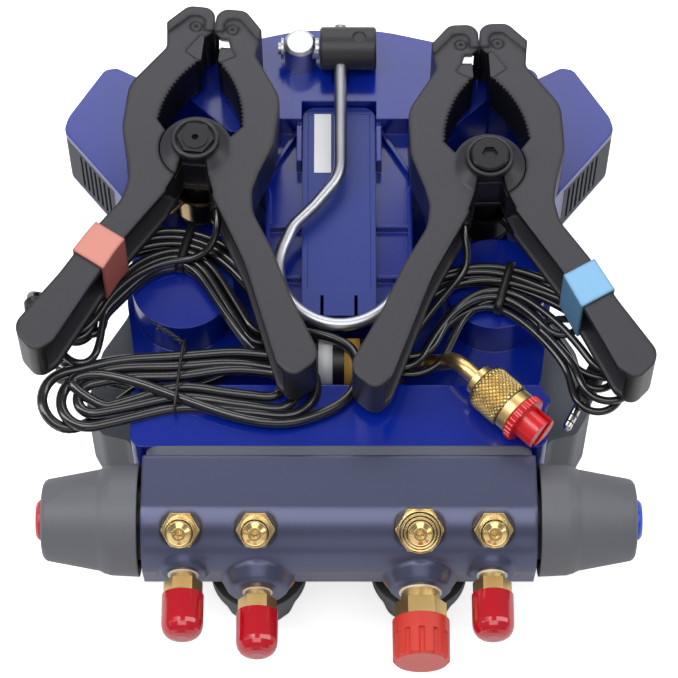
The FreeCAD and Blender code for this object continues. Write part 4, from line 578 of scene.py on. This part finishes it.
def mesh_piece(name, points, faces, material, smooth=False):
    """A piece from corner points, in millimetres, and its faces."""
    data = bpy.data.meshes.new(name)
    data.from_pydata([tuple(value * MM for value in point) for point in points], [], faces)
    data.validate()
    if smooth:
        data.shade_smooth()
    piece = bpy.data.objects.new(name, data)
    bpy.context.scene.collection.objects.link(piece)
    data.materials.append(material)
    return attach(piece, ROOT)


def axis_frame(start, along):
    """A matrix that takes the Z axis to the direction and the origin to the start."""
    return Matrix.Translation(Vector(start)) @ Vector(along).to_track_quat("Z", "X").to_matrix().to_4x4()


def ring_faces(rows, sides):
    """The faces between rows of points, each row a closed ring."""
    faces = []
    for row in range(rows):
        here = row * sides
        after = here + sides
        for i in range(sides):
            j = (i + 1) % sides
            faces.append((here + i, here + j, after + j, after + i))
    return faces


def lathe(name, profile, start, along, material, sides=LATHE_SIDES):
    """A turned piece from (radius, distance) points along an axis, with closed ends."""
    place = axis_frame(start, along)
    points = []
    for radius, distance in profile:
        for i in range(sides):
            angle = 2 * math.pi * i / sides
            points.append(place @ Vector((radius * math.cos(angle), radius * math.sin(angle), distance)))
    faces = ring_faces(len(profile) - 1, sides)
    faces.append(tuple(range(sides))[::-1])
    faces.append(tuple((len(profile) - 1) * sides + i for i in range(sides)))
    return mesh_piece(name, points, faces, material, smooth=True)


def slab(name, corners, low, high, material):
    """A flat piece from (x, y) corners between two heights."""
    count = len(corners)
    points = [(x, y, low) for x, y in corners] + [(x, y, high) for x, y in corners]
    faces = [tuple(range(count))[::-1], tuple(range(count, 2 * count))]
    for i in range(count):
        j = (i + 1) % count
        faces.append((i, j, count + j, count + i))
    return mesh_piece(name, points, faces, material)


# Cords

def smooth_line(points, steps=LINE_STEPS):
    """A rounded line through points, as many short steps."""
    found = []
    last = len(points) - 1
    for i in range(last):
        before = Vector(points[max(i - 1, 0)])
        here = Vector(points[i])
        after = Vector(points[i + 1])
        beyond = Vector(points[min(i + 2, last)])
        for step in range(steps):
            t = step / steps
            found.append(
                0.5
                * (
                    2 * here
                    + (after - before) * t
                    + (2 * before - 5 * here + 4 * after - beyond) * t * t
                    + (3 * here - before - 3 * after + beyond) * t * t * t
                )
            )
    found.append(Vector(points[last]))
    return found


class Lane:
    """A middle line that strands run beside, made from (x, y) points."""

    def __init__(self, points):
        self.line = smooth_line([Vector((x, y)) for x, y in points])
        self.far = [0.0]
        for a, b in zip(self.line, self.line[1:]):
            self.far.append(self.far[-1] + (b - a).length)
        self.length = self.far[-1]

    def at(self, u, v):
        """The spot that lies u along the line and v to its left."""
        index = 0
        while index < len(self.far) - 2 and self.far[index + 1] < u:
            index += 1
        start = self.line[index]
        along = (self.line[index + 1] - start).normalized()
        ahead = self.line[min(index + 2, len(self.line) - 1)] - self.line[index + 1]
        past = u - self.far[index]
        run = self.far[index + 1] - self.far[index]
        turned = along
        if ahead.length > 0.0 and 0.0 < past < run:
            share = past / run
            turned = (along * (1 - share) + ahead.normalized() * share).normalized()
        point = start + along * past
        return point.x - turned.y * v, point.y + turned.x * v


def mixed(first, last, share):
    """The value that lies a share of the way from the first to the last."""
    return first + (last - first) * share


class Turn:
    """One turn of a hank: two strands along a lane, narrow at the tie and wide towards their ends.

    mid and end are half the distance between the strands at the tie and at the ends, belly is their
    bulge between, near and far are where the turn starts and ends along the lane, shift is how far
    its ends lean to a side, and dip is how far its folds hang down from its height.
    """

    def __init__(self, tie, mid, end, belly, near, far, shift, height, ripple, dip):
        self.tie = tie
        self.mid = mid
        self.end = end
        self.belly = belly
        self.near = near
        self.far = far
        self.shift = shift
        self.height = height
        self.ripple = ripple
        self.dip = dip
        self.reach = max(tie - near, far - tie)

    def half(self, u):
        """Half the distance between the two strands."""
        share = min(1.0, abs(u - self.tie) / self.reach)
        soft = share * share * (3 - 2 * share)
        return mixed(self.mid, self.end, soft) + self.belly * math.sin(math.pi * soft)

    def side(self, u):
        """How far the middle of the two strands lies from the lane's own middle."""
        return self.shift * (u - self.tie) / self.reach

    def strand(self, first, last, hand, pace, number):
        """The points of one strand, on the lane's left for hand 1 and on its right for hand -1."""
        points = []
        for i in range(STRAND_POINTS):
            u = mixed(first, last, i / (STRAND_POINTS - 1))
            height = self.height + self.ripple * math.sin(u * pace + number)
            points.append((u, hand * self.half(u) + self.side(u), height))
        return points

    def far_fold(self):
        """The fold that brings the strand back at the far end."""
        radius = self.half(self.far)
        points = []
        for i in range(1, FOLD_STEPS):
            angle = math.pi * i / FOLD_STEPS
            u = self.far + radius * math.sin(angle)
            v = self.side(self.far) + radius * math.cos(angle)
            points.append((u, v, self.height - self.dip * math.sin(angle)))
        return points

    def near_fold(self, after):
        """The fold at the near end, which leads into the next turn."""
        points = []
        for i in range(1, FOLD_STEPS):
            share = i / FOLD_STEPS
            angle = math.pi * share
            radius = mixed(self.half(self.near), after.half(after.near), share)
            u = mixed(self.near, after.near, share) - radius * math.sin(angle)
            side = mixed(self.side(self.near), after.side(after.near), share)
            height = mixed(self.height, after.height, share)
            points.append((u, side - radius * math.cos(angle), height - self.dip * math.sin(angle)))
        return points


def skein(lane, turns):
    """The points of a cord wound in long loops, one turn after another."""
    points = []
    for number, turn in enumerate(turns):
        points += turn.strand(turn.near, turn.far, 1, OUT_RIPPLE, number)
        points += turn.far_fold()
        points += turn.strand(turn.far, turn.near, -1, BACK_RIPPLE, number)
        if number < len(turns) - 1:
            points += turn.near_fold(turns[number + 1])
    return [(*lane.at(u, v), height) for u, v, height in points]


def wound_cord(name, points, diameter, hank):
    """A cord along its points, from the first of them to the node on its far end, in place of a hank."""
    cord = curve_piece(name, points, diameter / 2, cord_black)
    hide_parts(hank)


left_lane = Lane(LEFT_LINE)
left_turns = []
for number in range(2 * LAYER_TURNS):
    level = number % LAYER_TURNS
    left_turns.append(
        Turn(
            tie=left_lane.length * LEFT_TIE_SHARE,
            mid=(7.4, 4.4, 1.5)[level],
            end=(8.6, 6.4, 4.4)[level],
            belly=(1.8, 1.2, 0.6)[level],
            near=9.0 + 3.0 * level,
            far=left_lane.length - 9.0 - 3.0 * level,
            shift=(0.6, -0.8, 0.5)[level],
            height=79.3 if number < LAYER_TURNS else 76.2,
            ripple=0.15,
            dip=1.5,
        )
    )
left_skein = skein(left_lane, left_turns[::-1])
left_in = [
    LEFT_BOOT_END,
    (-46.8, 34.0, 94.0),
    (-47.6, 29.4, 90.6),
    (-50.6, 25.6, 85.6),
    (-56.0, 23.8, 82.4),
    (-63.0, 23.0, 81.9),
    (-70.0, 21.5, 81.9),
    (-80.0, 16.0, 81.9),
    (-88.5, 7.5, 80.8),
    (-93.0, -1.0, 79.8),
    (-98.0, -6.5, 78.8),
    (-104.0, -6.5, 77.8),
    (-107.6, -1.0, 77.0),
    (-107.0, 6.0, 76.4),
    (-102.0, 13.0, 76.2),
]
left_out = [
    (-92.5, -17.0, 80.0),
    (-97.0, -21.5, 79.8),
    (-103.5, -20.0, 79.6),
    (-108.5, -13.0, 79.4),
    (-110.5, -3.0, 79.0),
    (-111.0, 4.5, 77.5),
    (-112.0, 11.0, 70.5),
    (-114.5, 15.8, 65.0),
    (-118.4, 17.6, 63.6),
    (-121.8, 15.8, 67.6),
    LEFT_JACK_TAIL,
]
left_points = left_in + left_skein[LEAD_JOIN:] + left_out
wound_cord("cord_left", left_points, CLAMP_CORD, "cord_hank_left")

right_lane = Lane(RIGHT_LINE)
right_turns = []
for number in range(2 * LAYER_TURNS):
    level = number % LAYER_TURNS
    right_turns.append(
        Turn(
            tie=right_lane.length * RIGHT_TIE_SHARE,
            mid=(8.4, 5.2, 2.0)[level],
            end=(11.5, 8.5, 6.5, 9.5, 12.0, 8.0)[number],
            belly=(1.0, 0.8, 0.6)[level],
            near=8.0 + 3.0 * level,
            far=right_lane.length - (4.0, 34.0, 12.0, 0.0, 16.0, 8.0)[number],
            shift=(1.5, -1.0, 3.0, -3.5, 2.5, -1.5)[number],
            height=80.4 if number < LAYER_TURNS else 77.2,
            ripple=0.4,
            dip=1.0,
        )
    )
right_skein = skein(right_lane, right_turns[::-1])
right_in = [
    RIGHT_BOOT_END,
    (48.4, 27.6, 94.0),
    (49.6, 22.0, 90.6),
    (49.2, 16.0, 86.8),
    (43.0, 9.0, 84.4),
    (33.5, -3.0, 83.2),
    (28.5, -11.0, 81.6),
    (23.5, -15.5, 80.2),
    (17.6, -15.0, 79.0),
    (14.4, -9.5, 78.2),
    (16.6, -2.5, 77.6),
    (23.5, 4.0, 77.2),
]
right_out = [
    (88.0, -1.0, 80.0),
    (96.0, -3.0, 76.5),
    (102.0, -7.0, 72.5),
    (103.4, -11.5, 70.9),
    RIGHT_JACK_TAIL,
]
right_points = right_in + right_skein[LEAD_JOIN:-RIGHT_END_JOIN] + right_out
wound_cord("cord_right", right_points, CLAMP_CORD, "cord_hank_right")

vacuum_lane = Lane(VACUUM_LINE)
vacuum_turns = []
for number in range(LAYER_TURNS):
    vacuum_turns.append(
        Turn(
            tie=vacuum_lane.length * VACUUM_TIE_SHARE,
            mid=(11.0, 6.7, 2.4)[number],
            end=(12.5, 8.6, 5.4)[number],
            belly=0.8,
            near=4.0 + 3.0 * number,
            far=vacuum_lane.length - 3.0 - 3.0 * number,
            shift=(0.8, -0.6, 0.8)[number],
            height=78.9,
            ripple=0.15,
            dip=0.0,
        )
    )
vacuum_skein = skein(vacuum_lane, vacuum_turns)
vacuum_in = [
    SENSOR_NOSE,
    (-34.0, -13.0, 64.8),
    (-46.0, -12.0, 65.5),
    (-60.0, -15.0, 67.0),
    (-74.0, -24.0, 69.5),
    (-86.0, -35.0, 71.5),
    (-95.0, -43.5, 73.5),
    (-103.0, -47.5, 75.6),
    (-110.0, -44.5, 77.6),
    (-113.6, -37.0, 79.0),
    (-111.5, -29.0, 79.4),
    (-106.0, -24.8, 79.2),
]
vacuum_out = [
    (-104.0, -30.0, 80.8),
    (-96.0, -25.5, 81.2),
    (-80.0, -28.5, 81.0),
    (-61.6, -36.1, 81.0),
    (-39.5, -45.0, 81.6),
    (-21.5, -48.0, 81.5),
    (-7.2, -43.5, 80.6),
    (3.0, -37.4, 80.4),
    (8.0, -27.5, 79.8),
    (6.5, -16.2, 79.4),
    (0.5, -10.5, 78.4),
    (-8.0, -7.0, 77.6),
    (-18.0, -4.0, 76.5),
    (-27.0, -2.8, 70.0),
    (-33.0, -6.0, 62.0),
    (-42.0, -14.0, 58.6),
    (-56.0, -20.0, 58.4),
    (-72.0, -23.0, 60.5),
    (-84.0, -22.4, 63.0),
    CONNECTOR_TAIL,
]
vacuum_points = vacuum_in + vacuum_skein + vacuum_out
wound_cord("cord_vacuum", vacuum_points, VACUUM_CORD, "cord_hank_vacuum")


# Ties round the hanks

def rounded_square(angle):
    """A spot on a square with soft corners, one half wide, by its angle round the middle."""
    c = math.copysign(abs(math.cos(angle)) ** TIE_SQUARE, math.cos(angle))
    s = math.copysign(abs(math.sin(angle)) ** TIE_SQUARE, math.sin(angle))
    return c, s


def tie(name, lane, share, half_wide, low, high):
    """A flat tie round a bundle: a rounded loop across the lane, between two heights."""
    here = lane.at(lane.length * share, 0.0)
    ahead = lane.at(lane.length * share + 1.0, 0.0)
    along = Vector((ahead[0] - here[0], ahead[1] - here[1], 0.0)).normalized()
    across = Vector((-along.y, along.x, 0.0))
    middle = Vector((here[0], here[1], (low + high) / 2))
    points = []
    for grow in (0.0, TIE_THICK):
        for offset in (-TIE_WIDE / 2, TIE_WIDE / 2):
            for i in range(TIE_POINTS):
                c, s = rounded_square(2 * math.pi * i / TIE_POINTS)
                up = Vector((0.0, 0.0, s * ((high - low) / 2 + grow)))
                points.append(middle + across * c * (half_wide + grow) + along * offset + up)
    rows = TIE_POINTS
    faces = []
    for i in range(rows):
        j = (i + 1) % rows
        faces.append((i, rows + i, rows + j, j))
        faces.append((2 * rows + i, 2 * rows + j, 3 * rows + j, 3 * rows + i))
        faces.append((i, j, 2 * rows + j, 2 * rows + i))
        faces.append((rows + i, 3 * rows + i, 3 * rows + j, rows + j))
    mesh_piece(name, points, faces, black_plastic, smooth=True)


def wire_loop():
    """The points of the wire round the vacuum cord's hank, an upright oval."""
    points = []
    for i in range(WIRE_POINTS):
        angle = 2 * math.pi * i / WIRE_POINTS
        x = WIRE_MIDDLE[0] + WIRE_REACH[0] * math.sin(angle)
        y = WIRE_MIDDLE[1] + WIRE_REACH[1] * math.sin(angle)
        points.append((x, y, WIRE_MIDDLE[2] + WIRE_REACH[2] * math.cos(angle)))
    return points


def wire_tail(hand, start_angle):
    """The points of one of the wire's two ends, wound round each other and open at the very end."""
    points = []
    for i in range(TAIL_POINTS):
        share = i / (TAIL_POINTS - 1)
        angle = share * TAIL_TWISTS * math.pi + start_angle
        wind = TAIL_WIND * (1.0 - TAIL_TAPER * share)
        x = TAIL_START[0] + TAIL_REACH[0] * share + wind * math.cos(angle)
        y = TAIL_START[1] + TAIL_REACH[1] * share + hand * TAIL_SPREAD * max(0.0, share - TAIL_OPENS)
        z = TAIL_START[2] + TAIL_REACH[2] * math.sin(share * math.pi) + wind * math.sin(angle)
        points.append((x, y, z))
    return points


tie("tie_left", left_lane, LEFT_TIE_SHARE, 9.4, 74.6, 81.4)
tie("tie_right", right_lane, RIGHT_TIE_SHARE, 10.4, 75.0, 82.4)
curve_piece("twist_tie_loop", wire_loop(), WIRE_RADIUS, black_plastic, closed=True)
curve_piece("twist_tie_tail_a", wire_tail(-1, math.pi), TAIL_RADIUS, black_plastic)
curve_piece("twist_tie_tail_b", wire_tail(1, 0.0), TAIL_RADIUS, black_plastic)


# Knurled sleeve of the coupler

def knurl_height(angle, distance):
    """Small pyramids where two sets of slanting grooves cross."""
    first = math.sin(KNURL_RIDGES / 2 * angle + distance * KNURL_SLANT)
    second = math.sin(KNURL_RIDGES / 2 * angle - distance * KNURL_SLANT)
    return min(abs(first), abs(second))


def knurled_sleeve():
    """A thin sleeve on the coupler whose points also carry how deep in a groove they lie, for the painted shade
    in its grooves.
    """
    place = axis_frame(COUPLER_START, COUPLER_AXIS)
    points = []
    depths = []
    for row in range(KNURL_ROWS + 1):
        distance = mixed(KNURL_START, KNURL_END, row / KNURL_ROWS)
        fade = min(1.0, KNURL_FADE * min(row, KNURL_ROWS - row) / KNURL_ROWS)
        for i in range(KNURL_AROUND):
            angle = 2 * math.pi * i / KNURL_AROUND
            high = fade * knurl_height(angle, distance)
            radius = COUPLER_RADIUS + KNURL_CLEAR + KNURL_HIGH * high
            points.append(place @ Vector((radius * math.cos(angle), radius * math.sin(angle), distance)))
            depths.append(max(0.0, 1.0 - GROOVE_SHARE * high))
    knurl = mesh_piece("coupler_knurl", points, ring_faces(KNURL_ROWS, KNURL_AROUND), knurl_brass)
    groove = knurl.data.attributes.new("groove", "FLOAT", "POINT")
    groove.data.foreach_set("value", depths)


knurled_sleeve()


# Milled rim of the plug in the coupler

def milled_rim():
    """Small upright beads round the plug's rim, as one piece."""
    place = axis_frame(PLUG_START, COUPLER_AXIS)
    middle_r = PLUG_RIM_R - BEAD_INSET
    points = []
    faces = []
    for number in range(PLUG_BEADS):
        middle = 2 * math.pi * number / PLUG_BEADS
        first = len(points)
        for distance in (BEAD_INSET, PLUG_RIM_LONG - BEAD_INSET):
            for k in range(BEAD_SIDES):
                angle = 2 * math.pi * k / BEAD_SIDES
                x = middle_r * math.cos(middle) + BEAD_RADIUS * math.cos(angle)
                y = middle_r * math.sin(middle) + BEAD_RADIUS * math.sin(angle)
                points.append(place @ Vector((x, y, distance)))
        for k in range(BEAD_SIDES):
            j = (k + 1) % BEAD_SIDES
            faces.append((first + k, first + j, first + BEAD_SIDES + j, first + BEAD_SIDES + k))
        faces.append(tuple(first + k for k in range(BEAD_SIDES))[::-1])
        faces.append(tuple(first + BEAD_SIDES + k for k in range(BEAD_SIDES)))
    mesh_piece("plug_edge", points, faces, plug_red)


milled_rim()


# Labels, left blank

def sensor_band(name, first, last, material):
    """A plain band of colour on the sensor's sleeve, between two distances from its tail."""
    lathe(name, [(SENSOR_BAND_R, first), (SENSOR_BAND_R, last)], SENSOR_TAIL, (1, 0, 0), material)


slab("label_sticker", STICKER, STICKER_LOW, STICKER_HIGH, paper)
sensor_band("sensor_gold_band", 3.0, 7.5, label_gold)
sensor_band("sensor_white_band", 12.0, 17.5, paper)
sensor_band("sensor_gold_end", 22.0, 28.0, label_gold)


# Sealing tape at the port threads

for number, (x, z, face, radius) in enumerate(PORTS):
    profile = []
    for step in range(TAPE_ROWS):
        wound = radius + TAPE_OUT + TAPE_WAVE * math.sin(step * TAPE_TURN + number)
        profile.append((wound, TAPE_START + step * TAPE_STEP))
    lathe("port_tape_" + str(number + 1), profile, (x, face - TAPE_LIFT, z), (0, -1, 0), tape_white)


# Picture

CAMERA_LENS = 148.9
SENSOR_WIDE = 36.0
CAMERA_ELEVATION = math.radians(62.0)
CAMERA_DISTANCE = 1.1
CAMERA_AIM = Vector((0.0, 0.0, 0.06))
LIGHT_AIM = (0.0, 0.0, 0.05)
ROOM_COLOUR = (0.8, 0.82, 0.86, 1.0)
ROOM_STRENGTH = 0.3
WHITE = (1.0, 1.0, 1.0, 1.0)
FLOOR_COLOUR = (0.9, 0.9, 0.9, 1.0)
FLOOR_REACH = 3.0
FLOOR_LOW = -0.0002
FLOOR_GLOW = 0.7

scene = bpy.context.scene
camera_data = bpy.data.cameras.new("camera")
camera_data.lens = CAMERA_LENS
camera_data.sensor_width = SENSOR_WIDE
camera_data.clip_start = 0.05
camera_data.clip_end = 20.0
camera = bpy.data.objects.new("camera", camera_data)
toward_camera = Vector((0.0, -math.cos(CAMERA_ELEVATION), math.sin(CAMERA_ELEVATION)))
camera.location = CAMERA_AIM + toward_camera * CAMERA_DISTANCE
camera.rotation_euler = (CAMERA_AIM - camera.location).to_track_quat("-Z", "Y").to_euler()
scene.collection.objects.link(camera)
scene.camera = camera
scene.view_settings.view_transform = "Standard"
scene.view_settings.look = "None"


def area_light(name, spot, wide, high, watts, target=LIGHT_AIM):
    """A rectangular light that faces its target. Lengths are in metres."""
    data = bpy.data.lights.new(name, "AREA")
    data.energy = watts
    data.shape = "RECTANGLE"
    data.size = wide
    data.size_y = high
    light = bpy.data.objects.new(name, data)
    light.location = spot
    light.rotation_euler = (Vector(target) - Vector(spot)).to_track_quat("-Z", "Y").to_euler()
    scene.collection.objects.link(light)


area_light("sky", (0.0, 1.16, 1.34), wide=1.5, high=0.6, watts=7.5)
area_light("strip", (0.0, -0.45, 1.43), wide=1.2, high=0.8, watts=7.0)
area_light("key", (-0.85, -0.1, 1.05), wide=0.35, high=1.6, watts=9.0)
area_light("right_fill", (0.95, 0.1, 0.9), wide=0.3, high=1.6, watts=5.0)
area_light("back", (0.0, 1.3, 0.55), wide=1.2, high=0.35, watts=3.0)
area_light("front_fill", (0.1, -1.2, 0.45), wide=0.9, high=0.5, watts=1.0, target=(0.0, -0.05, 0.05))


def white_surroundings():
    """A dim room that lights the object, seen by the camera as plain white."""
    world = bpy.data.worlds.new("world")
    scene.world = world
    world.use_nodes = True
    nodes = world.node_tree.nodes
    links = world.node_tree.links
    nodes.clear()
    output = nodes.new("ShaderNodeOutputWorld")
    mix = nodes.new("ShaderNodeMixShader")
    room = nodes.new("ShaderNodeBackground")
    room.inputs["Color"].default_value = ROOM_COLOUR
    room.inputs["Strength"].default_value = ROOM_STRENGTH
    white = nodes.new("ShaderNodeBackground")
    white.inputs["Color"].default_value = WHITE
    ray = nodes.new("ShaderNodeLightPath")
    links.new(ray.outputs["Is Camera Ray"], mix.inputs["Fac"])
    links.new(room.outputs["Background"], mix.inputs[1])
    links.new(white.outputs["Background"], mix.inputs[2])
    links.new(mix.outputs["Shader"], output.inputs["Surface"])


def white_floor():
    """A floor that the camera sees as white and that still takes the object's shadow."""
    corners = [(x, y, FLOOR_LOW) for x, y in ((-1, -1), (1, -1), (1, 1), (-1, 1))]
    data = bpy.data.meshes.new("floor")
    data.from_pydata([(x * FLOOR_REACH, y * FLOOR_REACH, z) for x, y, z in corners], [], [(0, 1, 2, 3)])
    floor = bpy.data.objects.new("floor", data)
    scene.collection.objects.link(floor)
    material = bpy.data.materials.new("floor_white")
    material.use_nodes = True
    nodes = material.node_tree.nodes
    links = material.node_tree.links
    shader = nodes["Principled BSDF"]
    shader.inputs["Base Color"].default_value = FLOOR_COLOUR
    shader.inputs["Roughness"].default_value = 0.9
    shader.inputs["Emission Color"].default_value = WHITE
    ray = nodes.new("ShaderNodeLightPath")
    glow = math_node(nodes, links, "MULTIPLY", ray.outputs["Is Camera Ray"], FLOOR_GLOW)
    links.new(glow, shader.inputs["Emission Strength"])
    data.materials.append(material)


white_surroundings()
white_floor()
